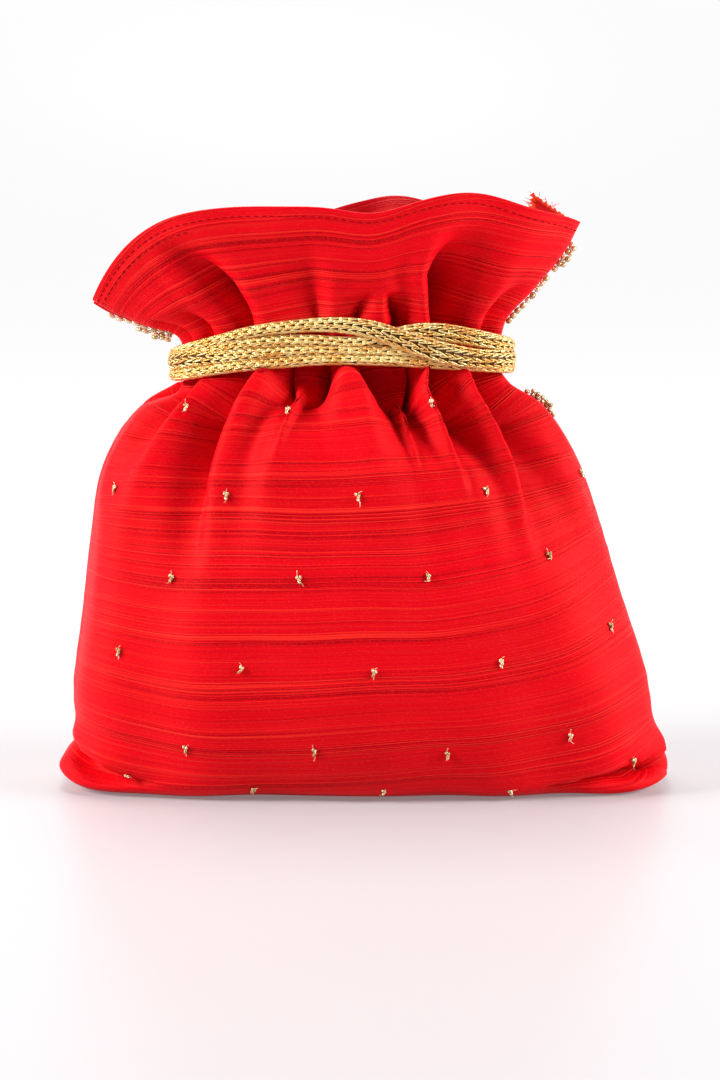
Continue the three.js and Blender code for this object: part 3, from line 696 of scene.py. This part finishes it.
def tube(path, radius, sides):
    """A round tube: rings of cos and sin in the plane across the path, started square to a
    direction that no path follows."""
    tangent = unit(np.gradient(path, axis=0))
    side = unit(np.cross(tangent, ASKEW))
    other = np.cross(tangent, side)
    turn = (2 * np.pi * np.arange(sides) / sides)[:, None]
    ring = np.cos(turn) * side[:, None] + np.sin(turn) * other[:, None]
    return capped_rings(path[:, None] + radius * ring)


SPINDLE = turned([(0.55, 0), (1.0, 0.28), (1.0, 0.72), (0.55, 1)], 4)
BEAD = turned([(0.30, -0.5), (0.5, -0.26), (0.5, 0.26), (0.30, 0.5)], 7)
print("spindle:", len(SPINDLE[0]), "points; bead:", len(BEAD[0]), "points")

# %% [markdown]
# ## Gold
# The cord is knitted of metallic thread, yellow to pale gold and shining on the crown of each stitch,
# and the core that shows in the gaps between stitches is painted dark brown as their shade. The beads
# are paler and smoother. Each stitch and bead carries a random tone and the place along it as an
# attribute, so no two are quite alike and the twist of the thread shows.


# %% Gold
def gold_finish(name, painted_shade, middle, pale, metallic, rough):
    """Metallic thread or beads: the tint attribute's x is random for each copy, y runs along it,
    and z is the share of painted shade, 1 on the core that shows only in the shaded gaps."""
    gold = Finish(name, {"Metallic": metallic, "Specular IOR Level": 0.5})
    tone, along_copy, core = gold.parts(gold.attribute("tint"))
    place = gold.object_place()
    cloud = gold.noise(place, scale=90.0, detail=2.0)
    speck = gold.noise(place, scale=1900.0, detail=2.0)
    share = gold.step(tone * 0.55 + cloud * 0.5 + speck * 0.35, 0.42, 0.98)
    twist = gold.node("ShaderNodeMath", {"operation": "SINE"}, {0: along_copy * 26.0})
    thread = gold.blend(share, middle, pale)
    # Where z of the tint is 1 the colour is the painted shade
    gold.surface({
        "Base Color": gold.blend(core, thread, painted_shade),
        "Roughness": rough + speck * 0.14 + core * 0.25,
        "Normal": gold.bump(twist * 0.4 + speck, 0.00012, 0.7),
    })
    return gold.material


def copy_tints(rng, shape, count):
    """The attribute tint of copies of a shape: a random tone for each copy, the height of each point
    in the shape, and no core."""
    tone = np.repeat(rng.uniform(0, 1, count), len(shape[0]))
    return np.stack([tone, np.tile(shape[0][:, 2], count), 0 * tone], axis=-1)


# Painted shade: the knitted cord's core takes it in full, and the thread of the bead strings takes half of
# it
GOLD_SHADE = (0.085, 0.032, 0.005, 1)
CORD_YELLOW, CORD_PALE = (0.80, 0.40, 0.09, 1), (1.0, 0.78, 0.34, 1)
BEAD_BROWN, BEAD_PALE = (0.50, 0.33, 0.14, 1), (0.90, 0.76, 0.50, 1)
cord_gold = gold_finish("gold_thread", GOLD_SHADE, CORD_YELLOW, CORD_PALE, metallic=0.6, rough=0.26)
bead_gold = gold_finish("gold_bead", GOLD_SHADE, BEAD_BROWN, BEAD_PALE, metallic=0.55, rough=0.16)
print("materials:", cord_gold.name, bead_gold.name)

# %% [markdown]
# ## The drawn cord
# One soft knitted cord is wound four times round the neck. In front the turns cross: the first
# starts on top at the left and comes down over the others at the right. So the route of each turn
# is given from left to right by its level over the middle line of the neck, its half width and how
# far it is lifted off the cloth, and the back joins the end of one turn to the start of the next.

# %% The route of the cord
CORD_GAP = 0.3
# One list for each turn, from left to right: x, level, half width, lift
TURNS = [
    [(-67.7, 4.0, 2.0, 0.2), (-51.3, 5.9, 2.0, 0.4), (-40.2, 7.4, 2.0, 0.5), (-23.3, 7.6, 2.2, 0.6),
     (-10.6, 7.8, 2.6, 0.9), (3.2, 6.3, 3.2, 1.8), (12.0, 2.8, 3.4, 2.9), (20.5, 0.3, 3.6, 3.3),
     (29.2, -2.3, 4.0, 3.4), (40.6, -3.3, 3.4, 2.6), (52.3, -2.3, 3.4, 1.0)],
    [(-67.7, 2.5, 2.0, 0.0), (-53.0, 3.3, 2.0, 0.0), (-38.3, 3.1, 2.1, 0.0), (-22.7, 2.4, 2.1, 0.0),
     (-10.6, 1.0, 2.2, 0.1), (-1.1, 0.4, 2.3, 0.0), (8.0, 3.4, 2.4, 0.0), (20.4, 6.0, 3.0, 0.4),
     (29.2, 5.8, 3.2, 0.9), (37.9, 4.7, 3.1, 1.1), (46.5, 3.4, 2.8, 0.8), (52.3, 2.4, 2.2, 0.0)],
    [(-67.7, 1.6, 3.4, 1.6), (-62.0, 1.8, 3.6, 1.8), (-48.7, -0.4, 2.4, 0.9), (-35.7, -1.3, 2.1, 0.2),
     (-22.7, -1.5, 2.1, 0.0), (-9.7, -1.8, 2.1, 0.0), (3.2, -2.2, 2.1, 0.0), (52.3, -2.6, 2.1, 0.0)],
    [(-67.7, -3.6, 2.1, 0.5), (-57.4, -4.0, 2.1, 0.4), (-44.4, -4.5, 2.0, 0.2), (-31.3, -5.2, 1.9, 0.0),
     (-18.5, -5.0, 1.9, 0.0), (-9.7, -4.9, 1.9, 0.0), (3.2, -5.1, 1.9, 0.0), (16.2, -5.2, 2.0, 0.0),
     (28.0, -5.6, 2.0, 0.0), (52.3, -5.8, 2.0, 0.0)],
]
# Behind the bag the cord runs at these levels, with one half width and no lift
BACK_LEVELS = [7.2, 3.6, 0.0, -3.6, -7.2]
BACK_HALF_WIDTH = 2.3
# Half thickness at the usual half width, and the power by which a wider cord is thinner
HALF_THICKNESS, USUAL_HALF_WIDTH, THINNING = 2.0, 2.2, 0.45
# Points of the route, and how many on each side of one soften it
ROUTE_POINTS, SOFT_SPAN = 4001, 30
NECK_MIDDLE, NECK_HALF_WIDTH = (NECK_LEFT + NECK_RIGHT) / 2, (NECK_RIGHT - NECK_LEFT) / 2


def cord_route():
    """The middle line of the cord. Half turns are counted from the middle of the back, so the plan
    is a squared ellipse of pi times the count. Level, half width and lift are read from the table
    and softened by a bell. A wider cord is thinner, by a power of its half width."""
    rows = []
    for turn, front in enumerate(TURNS):
        rows.append((2 * turn, BACK_LEVELS[turn], BACK_HALF_WIDTH, 0.0))
        for x, *rest in front:
            cosine = np.clip((NECK_MIDDLE - x) / NECK_HALF_WIDTH, -1, 1)
            rows.append((2 * turn + 0.5 + math.acos(cosine) / math.pi, *rest))
    rows.append((2 * len(TURNS), BACK_LEVELS[-1], BACK_HALF_WIDTH, 0.0))
    rows = np.array(rows)
    count = np.linspace(0, rows[-1, 0], ROUTE_POINTS)
    window = bell(np.linspace(-2, 2, 2 * SOFT_SPAN + 1))
    window = window / window.sum()
    sharp = [np.interp(count, rows[:, 0], column) for column in rows[:, 1:].T]
    padded = [np.pad(column, SOFT_SPAN, "edge") for column in sharp]
    level, half, lift = (np.convolve(column, window, "valid") for column in padded)
    angle = np.pi * (count - 0.5)
    x = NECK_MIDDLE - NECK_HALF_WIDTH * np.cos(angle)
    y = -np.sign(np.sin(angle)) * (SEAM_GAP / 2 + NECK_DEPTH * np.abs(np.sin(angle)) ** NECK_SQUARE)
    z = NECK_HEIGHT + level - np.where(np.cos(angle) > 0, DROP_LEFT, DROP_RIGHT) * np.cos(angle) ** 2
    plan = unit(np.gradient(np.stack([x, y, 0 * z], axis=-1), axis=0))
    outward = np.stack([plan[:, 1], -plan[:, 0], 0 * z], axis=-1)
    thick = HALF_THICKNESS * (USUAL_HALF_WIDTH / half) ** THINNING
    path = np.stack([x, y, z], axis=-1) + outward * (thick + CORD_GAP + lift)[:, None]
    run = run_of(path)
    places = np.arange(0, run[-1], 1.0)
    return [read_along(run, table, places) for table in (path, outward, np.stack([half, thick], axis=-1))]


cord_path, cord_outward, cord_section = cord_route()
print("cord:", round(run_of(cord_path)[-1]), "mm long,", len(TURNS), "turns")

# %% [markdown]
# ## Knitting
# The cord is a flattened knitted tube. Its stitches are columns of V shapes, staggered from one
# column to the next, and the shaded gaps between their legs are what shows at this size. So the skin
# is a slim core, painted dark as that shade, and, over it, two spindles for every V, left out only
# where the cord lies against the cloth.

# %% The knitted cord
STITCH_LENGTH = 3.5
STITCH_COLUMNS = 8
STITCH_RADIUS = 0.40
FIRST_COLUMN = 0.2
CORE_SIDES, CORE_STEP, CORE_SHARE = 14, 1.6, 0.74
# A third tint number of 1 gives the core the full painted shade of the gaps
CORE_TINT = (0.5, 0.5, 1.0)
# Foot and head of a leg: share of a column aside, and share of the cord's size
LEG_FOOT, LEG_HEAD = (0.10, 0.90), (0.50, 1.0)
# How many stitch lengths a leg reaches
LEG_REACH = 1.22
# Columns whose cosine is no larger than this lie against the cloth
CLOTH_SIDE = -0.45


def knitted(path, outward, section, seed):
    """A knitted cord along a path: points are the path plus half width times sine and half
    thickness times cosine of an angle that is 0 away from the bag. Legs of a V run from one course
    to the next, half a column aside."""
    rng = np.random.default_rng(seed)
    run = run_of(path)
    tangent = unit(np.gradient(path, axis=0))
    upward = unit(np.cross(outward, tangent))
    table = np.concatenate([path, np.cross(tangent, upward), upward, section], axis=1)

    def skin(places, angle, scale):
        """Points of the cord's skin, so far along it and so far round it, at a share of its size."""
        row = read_along(run, table, places.ravel()).reshape(*places.shape, -1)
        out = row[..., 3:6] * (row[..., 10] * np.cos(angle) * scale)[..., None]
        return row[..., 0:3] + out + row[..., 6:9] * (row[..., 9] * np.sin(angle) * scale)[..., None]

    around = 2 * np.pi * np.arange(CORE_SIDES) / CORE_SIDES
    rings = np.broadcast_arrays(np.arange(0, run[-1], CORE_STEP)[:, None], around[None])
    core = capped_rings(skin(*rings, CORE_SHARE))
    course = np.arange(0, run[-1] - 1.3 * STITCH_LENGTH, STITCH_LENGTH)
    columns = np.arange(STITCH_COLUMNS)
    slice_angle = 2 * np.pi / STITCH_COLUMNS
    columns = columns[np.cos(columns * slice_angle + FIRST_COLUMN) > CLOTH_SIDE]
    hands = np.array([-1, 1])
    start, column, hand = np.broadcast_arrays(course[:, None, None], columns[None, :, None], hands)
    start = start + (column % 2) * STITCH_LENGTH / 2 + rng.normal(0, 0.10, start.shape)
    angle = column * slice_angle + FIRST_COLUMN + rng.normal(0, 0.03, start.shape)
    aside, share = LEG_FOOT
    foot = skin(start, angle + aside * hand * slice_angle, share).reshape(-1, 3)
    aside, share = LEG_HEAD
    head = skin(start + LEG_REACH * STITCH_LENGTH, angle + aside * hand * slice_angle, share).reshape(-1, 3)
    away = unit((foot + head) / 2 - read_along(run, path, (start + 0.6 * STITCH_LENGTH).ravel()))
    beside = unit(np.cross(head - foot, away))
    away = unit(np.cross(beside, head - foot))
    axes = np.stack([away * STITCH_RADIUS, beside * STITCH_RADIUS, head - foot], axis=1)
    points, faces = joined([core, copies(SPINDLE, foot, axes)])
    core_tint = np.tile(CORE_TINT, (len(core[0]), 1))
    return points, faces, np.concatenate([core_tint, copy_tints(rng, SPINDLE, len(foot))])


points, faces, tint = knitted(cord_path, cord_outward, cord_section, seed=5)
gold_cord = make_piece("gold_cord", points, faces, cord_gold, {"tint": tint})
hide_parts("draw_cord")

# %% [markdown]
# ## The hitch
# The photograph doesn't show how the cord is fastened, so a plain hitch closes it in the middle of
# the back: the cord's end passes over the four turns and tucks in above and below them.

# %% The hitch
HITCH_OUT, HITCH_RADIUS, HITCH_SECTION = 2.4, 4.5, (2.4, 2.0)
hitch_turn = np.linspace(0.25 * np.pi, 0.5 * np.pi, 12)
hitch_top = np.stack([0 * hitch_turn, np.sin(hitch_turn), np.cos(hitch_turn)], axis=-1)
hitch_side = np.concatenate([hitch_top, hitch_top[::-1] * (1, 1, -1)])
hitch_level = NECK_HEIGHT + np.repeat([BACK_LEVELS[0], BACK_LEVELS[-1]], len(hitch_turn))
hitch_middle = np.tile([NECK_MIDDLE, NECK_DEPTH + HITCH_OUT, 0.0], (len(hitch_level), 1))
hitch_middle[:, 2] = hitch_level
hitch_path = evenly(hitch_middle + hitch_side * HITCH_RADIUS, 0.8)
side_share, path_share = np.linspace(0, 1, len(hitch_side)), np.linspace(0, 1, len(hitch_path))
hitch_out = read_along(side_share, hitch_side, path_share)
points, faces, tint = knitted(hitch_path, hitch_out, np.tile(HITCH_SECTION, (len(hitch_path), 1)), seed=6)
hitch = make_piece("cord_hitch_knit", points, faces, cord_gold, {"tint": tint})
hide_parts("cord_hitch")

# %% [markdown]
# ## Bead strings
# Strings of gold beads are sewn along the side seams, two or three side by side near the neck. A
# string is a row of beads at even steps along the seam line, each turned a little, on a thread.

# %% Bead strings
# Piece, CAD node, u of the seam, first and last section, seed, and rows of beads: distance out,
# distance behind, share of the run where the row starts and ends, bead length, bead width
BEAD_STRINGS = [
    ("beads_left", "bead_edging_left", 0, 9.4, 11.5, 21,
     [(0.7, 0.9, 0.0, 0.97, 3.0, 1.7), (2.2, 0.6, 0.0, 0.50, 2.6, 1.7), (3.6, 1.0, 0.0, 0.26, 2.4, 1.6)]),
    ("beads_right_upper", "bead_edging_right_upper", 1, 9.15, 11.45, 22,
     [(1.2, 0.9, 0.0, 0.60, 2.4, 2.1), (1.1, 0.9, 0.69, 1.0, 2.4, 2.1), (2.5, 0.7, 0.78, 1.0, 2.0, 2.0)]),
    ("beads_right_lower", "bead_edging_right_lower", 1, 6.75, 7.4, 23,
     [(0.6, 0.9, 0.0, 1.0, 1.9, 1.8), (1.9, 0.4, 0.25, 0.9, 1.7, 1.8)]),
]
BEAD_GAP = 0.25
STRING_RADIUS, STRING_TINT = 0.16, (0.3, 0.5, 0.5)


def seam_line(u, low, high):
    """The seam between two sections as points, with the unit directions along it and out of the bag."""
    v = np.linspace(low, high, 80)
    point = envelope(BACK, np.full(80, float(u)), v)
    forward = unit(np.gradient(point, axis=0))
    out = np.stack([forward[:, 2], 0 * v, -forward[:, 0]], axis=-1) * (1 if u > 0.5 else -1)
    return point, forward, out


def bead_string(name, node, u, low, high, seed, rows):
    """Beads in rows beside a seam, one bead and a gap apart, each moved and turned a little."""
    rng = np.random.default_rng(seed)
    point, forward, out = seam_line(u, low, high)
    run = run_of(point)
    shapes, tints = [], []
    for away, behind, start, end, long, wide in rows:
        places = np.arange(start * run[-1], end * run[-1], long + BEAD_GAP)
        place = places + rng.normal(0, 0.12, len(places))
        beyond = read_along(run, out, place) * (away + rng.normal(0, 0.12, (len(place), 1)))
        middle = read_along(run, point, place) + beyond
        middle[:, 1] = behind + rng.normal(0, 0.15, len(place))
        ahead = unit(read_along(run, forward, place) + rng.normal(0, 0.12, (len(place), 3)))
        beside = unit(np.cross(ahead, rng.normal(0, 1, (len(place), 3))))
        size = rng.uniform(0.9, 1.08, (len(place), 1))
        axes = np.stack([beside * wide * size, np.cross(ahead, beside) * wide * size, ahead * long], axis=1)
        shapes += [copies(BEAD, middle, axes), tube(middle, STRING_RADIUS, 5)]
        tints += [copy_tints(rng, BEAD, len(place)), np.tile(STRING_TINT, (len(shapes[-1][0]), 1))]
    points, faces = joined(shapes)
    piece = make_piece(name, points, faces, bead_gold, {"tint": np.concatenate(tints)})
    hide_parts(node)


for string in BEAD_STRINGS:
    bead_string(*string)

# %% [markdown]
# ## Bootis
# Small knots of gold beads are sewn all over the cloth in staggered rows. Each stands where its CAD
# solid stands: the nearest point of the fine panel gives the seat and its directions, and points that
# are sunk in a valley count as further away. A knot is four beads in two tiers, with two short ends
# of thread.

# %% Bootis
# The four beads of a knot: right, up and out from its seat
KNOT_BEADS = [(-0.42, 0.85, 0.5), (0.45, 0.62, 0.55), (0.08, -0.25, 0.75), (-0.20, -1.05, 0.5)]
# Width, thickness and length of these beads
KNOT_BEAD_SIZE = np.array([1.1, 1.1, 1.25])
# The loose ends of thread
LOOSE_RADIUS, LOOSE_TINT = 0.10, (0.9, 0.5, 0.0)


def bootis(name, side, prefix, seed):
    """Bead knots of one panel, four beads and two thread ends each, turned a little from upright."""
    rng = np.random.default_rng(seed)
    names = sorted(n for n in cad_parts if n.startswith(prefix))
    boxes = np.array([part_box(n) for n in names]) / MM
    centres = boxes.mean(axis=1)
    u, v = (grid.ravel() for grid in panel_grid())
    surface = cloth(side, u, v)
    sunk = np.maximum(gathers(side, u, v)[0], 0)
    seats = np.array([np.argmin(np.linalg.norm(surface - centre, axis=1) + sunk) for centre in centres])
    seat, across, up, normal = cloth_frame(side, u[seats], v[seats])
    turn = rng.normal(0, 0.16, (len(names), 1))
    up, across = up * np.cos(turn) + across * np.sin(turn), across * np.cos(turn) - up * np.sin(turn)
    shapes, tints = [], []
    for right, rise, out in KNOT_BEADS:
        middle = seat + across * (right + rng.normal(0, 0.12, turn.shape)) + up * rise + normal * out
        ahead = unit(up + across * rng.normal(0, 0.5, turn.shape) + normal * rng.normal(0, 0.2, turn.shape))
        beside = unit(np.cross(ahead, normal))
        axes = np.stack([beside, np.cross(ahead, beside), ahead], axis=1) * KNOT_BEAD_SIZE[:, None]
        shapes.append(copies(BEAD, middle, axes))
        tints.append(copy_tints(rng, BEAD, len(names)))
    sway = np.linspace(0, 1, 6)[:, None]
    for k in range(len(names)):
        for end in (-1, 1):
            aim = unit(up[k] * end + across[k] * rng.normal(0, 0.8) + normal[k] * rng.uniform(0.2, 0.7))
            bend = unit(np.cross(aim, normal[k])) * rng.normal(0, 0.9)
            start = seat[k] + up[k] * end * 1.1 + normal[k] * 0.4
            loose = start + aim * sway * rng.uniform(1.0, 2.0) + bend * sway ** 2
            shapes.append(tube(loose, LOOSE_RADIUS, 4))
            tints.append(np.tile(LOOSE_TINT, (len(shapes[-1][0]), 1)))
    points, faces = joined(shapes)
    piece = make_piece(name, points, faces, bead_gold, {"tint": np.concatenate(tints)})
    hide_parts(*names)


bootis("bootis_front", FRONT, "booti_front", seed=31)
bootis("bootis_back", BACK, "booti_back", seed=32)

# %% [markdown]
# ## The hem
# The rim is turned in and sewn down with running stitches. They are short spindles of red thread on
# the cloth, at even steps along a line a few millimetres below the rim. The left wing has a second
# line below the first.

# %% The hem
HEM_STITCH, HEM_STEP = 1.9, 2.9
# How far the lines lie below the rim, and how stitches lie: lift, half thickness, half width
HEM_LINE, INNER_LINE = 3.4, 6.4
HEM_LIFT, HEM_HALF_THICK, HEM_HALF_WIDE = 0.06, 0.17, 0.20
RED_THREAD_DARK, RED_THREAD = (0.16, 0.002, 0.004, 1), (0.42, 0.004, 0.010, 1)
thread_finish = Finish("red_thread", {"Specular IOR Level": 0.05, "Roughness": 0.7})
thread_noise = thread_finish.noise(thread_finish.object_place(), scale=900.0, detail=2.0)
thread_finish.surface({"Base Color": thread_finish.blend(thread_noise, RED_THREAD_DARK, RED_THREAD)})


def hem_stitches(name, side, below, low_u, high_u, seed):
    """Running stitches: a spindle at every step along the line that lies this far below the rim."""
    rng = np.random.default_rng(seed)
    u = np.linspace(low_u, high_u, 900)
    v = np.full(900, np.interp(LENGTH_AT_V[-1] - below, LENGTH_AT_V, middle_v))
    point, across, _, normal = cloth_frame(side, u, v)
    run = run_of(point)
    places = np.arange(0, run[-1] - 3, HEM_STEP)
    start = read_along(run, point + normal * HEM_LIFT, places + rng.normal(0, 0.10, len(places)))
    forward = unit(read_along(run, across, places)) * HEM_STITCH
    out = unit(read_along(run, normal, places))
    beside = unit(np.cross(forward, out))
    axes = np.stack([out * HEM_HALF_THICK, beside * HEM_HALF_WIDE, forward], axis=1)
    points, faces = copies(SPINDLE, start, axes)
    piece = make_piece(name, points, faces, thread_finish.material)
    return piece


stitches_front = [hem_stitches("hem_stitches_front", FRONT, HEM_LINE, 0.01, 0.99, 41),
                  hem_stitches("hem_stitches_front_inner", FRONT, INNER_LINE, 0.01, 0.30, 42)]
stitches_back = [hem_stitches("hem_stitches_back", BACK, HEM_LINE, 0.01, 0.99, 43)]

# %% [markdown]
# ## The frayed end of the seam
# At the right of the rim the raw end of the seam's allowance sticks out: a narrow strip of the same
# silk, orange where the loose threads let the light through, with threads fraying from its edges.

# %% The frayed end
RAW_RED, RAW_ORANGE = (0.62, 0.006, 0.008, 1), (0.90, 0.070, 0.014, 1)
raw_silk = Finish("raw_silk", {"Specular IOR Level": 0.15, "Roughness": 0.65})
strip_along, strip_up, strip_edge = raw_silk.parts(raw_silk.attribute("tint"))
weave = raw_silk.noise(raw_silk.place(strip_along * 3.0, strip_up * 24.0, 2.0), detail=2.0)
pale_edge = raw_silk.step(strip_edge + weave * 0.5 - 0.25, 0.35, 0.75)
raw_silk.surface({
    "Base Color": raw_silk.blend(pale_edge, RAW_RED, RAW_ORANGE),
    "Normal": raw_silk.bump(weave, 0.0002, 0.6),
})
# Corners of the strip as x and z: right above, left above, left below, right below
FLAP_CORNER, FLAP_TIP = np.array([78.0, 211.0]), np.array([62.4, 221.4])
FLAP_LOW, FLAP_ROOT = np.array([61.6, 213.6]), np.array([75.4, 205.4])
FLAP_COLUMNS, FLAP_ROWS = 48, 20
FLAP_THICKNESS = 0.45
FRAYS = 9


def flap_place(s, t):
    """A point of the flat strip: s runs from the free end to the seam, and t from the lower edge up."""
    lower = FLAP_LOW + (FLAP_ROOT - FLAP_LOW) * s
    upper = FLAP_TIP + (FLAP_CORNER - FLAP_TIP) * s
    return lower + (upper - lower) * t


flap_s, flap_t = np.meshgrid(np.linspace(0, 1, FLAP_COLUMNS), np.linspace(0, 1, FLAP_ROWS))
ragged = ripples(flap_t * 9, 0 * flap_t, 61, 5, 2.2, 1.0) * (1 - flap_s) ** 6 * 0.6
ragged_top = ripples(flap_s * 18, 0 * flap_s, 62, 5, 2.6, 1.0) * flap_t ** 8 * 0.35
flat = flap_place(flap_s[..., None], flap_t[..., None])
flap_y = 0.2 + 1.5 * (1 - flap_s) ** 2 * np.sin(2.6 * flap_t) - 1.0 * (1 - flap_s) ** 3
face = np.stack([flat[..., 0] + ragged, flap_y, flat[..., 1] + ragged_top], axis=-1)
flap_points = np.concatenate([face.reshape(-1, 3), (face + (0, FLAP_THICKNESS, 0)).reshape(-1, 3)])
edge_share = np.maximum(1 - flap_s * 4.5, flap_t * 3.2 - 2.2)
face_tint = np.stack([flap_s, flap_t, np.clip(edge_share, 0, 1)], axis=-1).reshape(-1, 3)
rng = np.random.default_rng(63)
fray_at = np.concatenate([np.stack([np.zeros(FRAYS), rng.uniform(0.25, 1, FRAYS)], axis=-1),
                          np.stack([rng.uniform(0.1, 0.9, FRAYS), np.ones(FRAYS)], axis=-1)])
shapes = [(flap_points, [shell_faces(FLAP_ROWS, FLAP_COLUMNS)])]
reach = np.linspace(0, 1, 7)[:, None]
for s, t in fray_at:
    x, z = flap_place(s, t)
    aim = np.array([-0.9, 0.0, 0.35]) if s == 0 else np.array([0.5, 0.0, 0.8])
    aim = unit(aim + rng.normal(0, 0.45, 3))
    straight = np.array([x, 0.5, z]) + aim * reach * rng.uniform(1.0, 2.6)
    shapes.append(tube(straight + rng.normal(0, 0.7, 3) * reach ** 2, 0.09, 4))
points, faces = joined(shapes)
fray_tint = np.tile([0.5, 0.5, 1.0], (len(points) - len(flap_points), 1))
tint = np.concatenate([face_tint, face_tint, fray_tint])
frayed_end = make_piece("frayed_end", points, faces, raw_silk.material, {"tint": tint})
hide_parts("frayed_flap")

# %% [markdown]
# ## The table
# A plain pale table stands under the pouch and sweeps up far behind it. Near the pouch it takes the
# shadow. Away from the pouch the table glows white by itself, so the lamps needn't make it white. The
# glow also gives about a tenth of the light on the silk.

# %% The table
TABLE_NEAR, TABLE_FAR = (0.42, 0.415, 0.42, 1), (0, 0, 0, 1)
GLOW_NEAR, GLOW_FAR = (0.17, 0.17, 0.175, 1), (0.955, 0.955, 0.965, 1)
SWEEP_HALF_WIDTH, SWEEP_FRONT, SWEEP_BACK, SWEEP_RADIUS, SWEEP_HEIGHT = 3.0, -2.0, 0.9, 0.5, 2.4
TABLE_DROP = 0.0003
# The table turns white over these metres behind the pouch, and square metres of distance all round
FADE_BEHIND, FADE_ROUND = (0.02, 0.55), (0.16, 0.7)
table = Finish("table", {"Roughness": 0.36, "Specular IOR Level": 0.3, "Emission Strength": 1.0})
across_table, depth_of_table, _ = table.parts(table.object_place())
distance_squared = across_table * across_table + depth_of_table * depth_of_table
far = table.step(depth_of_table, *FADE_BEHIND) + table.step(distance_squared, *FADE_ROUND)
table.surface({
    "Base Color": table.blend(far, TABLE_NEAR, TABLE_FAR),
    "Emission Color": table.blend(far, GLOW_NEAR, GLOW_FAR),
})
turn = np.linspace(0, np.pi / 2, 24)
sweep_end = SWEEP_BACK + SWEEP_RADIUS
sweep_y = np.concatenate([[SWEEP_FRONT], SWEEP_BACK + SWEEP_RADIUS * np.sin(turn), [sweep_end]])
sweep_z = np.concatenate([[0], SWEEP_RADIUS * (1 - np.cos(turn)), [SWEEP_HEIGHT]]) - TABLE_DROP
edge_x = np.array([[-SWEEP_HALF_WIDTH, SWEEP_HALF_WIDTH]])
sweep = np.stack(np.broadcast_arrays(edge_x, sweep_y[:, None], sweep_z[:, None]), axis=-1).reshape(-1, 3)
floor_mesh = bpy.data.meshes.new("table_sweep")
floor_mesh.from_pydata(sweep.tolist(), [], grid_quads(len(sweep_y), 2).tolist())
floor_mesh.polygons.foreach_set("use_smooth", np.ones(len(sweep_y) - 1, bool))
floor_mesh.materials.append(table.material)
floor = bpy.data.objects.new("table_sweep", floor_mesh)
bpy.context.scene.collection.objects.link(floor)
print("table:", len(sweep), "points")

# %% [markdown]
# ## The light
# Two soft lamps light the pouch from the sides, so that its folds show, and one above and behind it
# draws the shadow in front. The camera sees a white world. Gloss sees a quarter of that white, so
# that gold stays rich, and the world lights the pouch only faintly.

# %% The light
GLOSSY_SHARE, FAINT_LIGHT = 0.25, 0.05
LAMP_SIZE, LAMP_TARGET = 0.5, Vector((0, 0, 0.1))
# Name, place in metres, watts
LAMPS = [
    ("above", (-0.1, 0.25, 1.2), 10.0),
    ("left", (-1.12, -0.36, 0.64), 23.5),
    ("right", (1.15, -0.32, 0.58), 20.0),
]
world = bpy.data.worlds.new("studio")
bpy.context.scene.world = world
world.use_nodes = True
nodes, links = world.node_tree.nodes, world.node_tree.links
background = nodes["Background"]
background.inputs["Color"].default_value = (1, 1, 1, 1)
path = nodes.new("ShaderNodeLightPath")
seen = path.outputs["Is Camera Ray"]
for ray, share in (("Is Glossy Ray", GLOSSY_SHARE), ("Is Transmission Ray", 1)):
    part = nodes.new("ShaderNodeMath")
    part.operation = "MULTIPLY"
    part.inputs[1].default_value = share
    links.new(path.outputs[ray], part.inputs[0])
    either = nodes.new("ShaderNodeMath")
    either.operation = "MAXIMUM"
    links.new(seen, either.inputs[0])
    links.new(part.outputs[0], either.inputs[1])
    seen = either.outputs[0]
strength = nodes.new("ShaderNodeMapRange")
strength.inputs["To Min"].default_value = FAINT_LIGHT
strength.inputs["To Max"].default_value = 1.0
links.new(seen, strength.inputs["Value"])
links.new(strength.outputs[0], background.inputs["Strength"])


def lamp(name, place, watts):
    """A square soft lamp that looks at the middle of the pouch."""
    light = bpy.data.lights.new(name, "AREA")
    light.shape = "SQUARE"
    light.size = LAMP_SIZE
    light.energy = watts
    holder = bpy.data.objects.new(name, light)
    holder.location = place
    holder.rotation_euler = (LAMP_TARGET - holder.location).to_track_quat("-Z", "Y").to_euler()
    bpy.context.scene.collection.objects.link(holder)


for row in LAMPS:
    lamp(*row)
bpy.context.scene.view_settings.view_transform = "Standard"
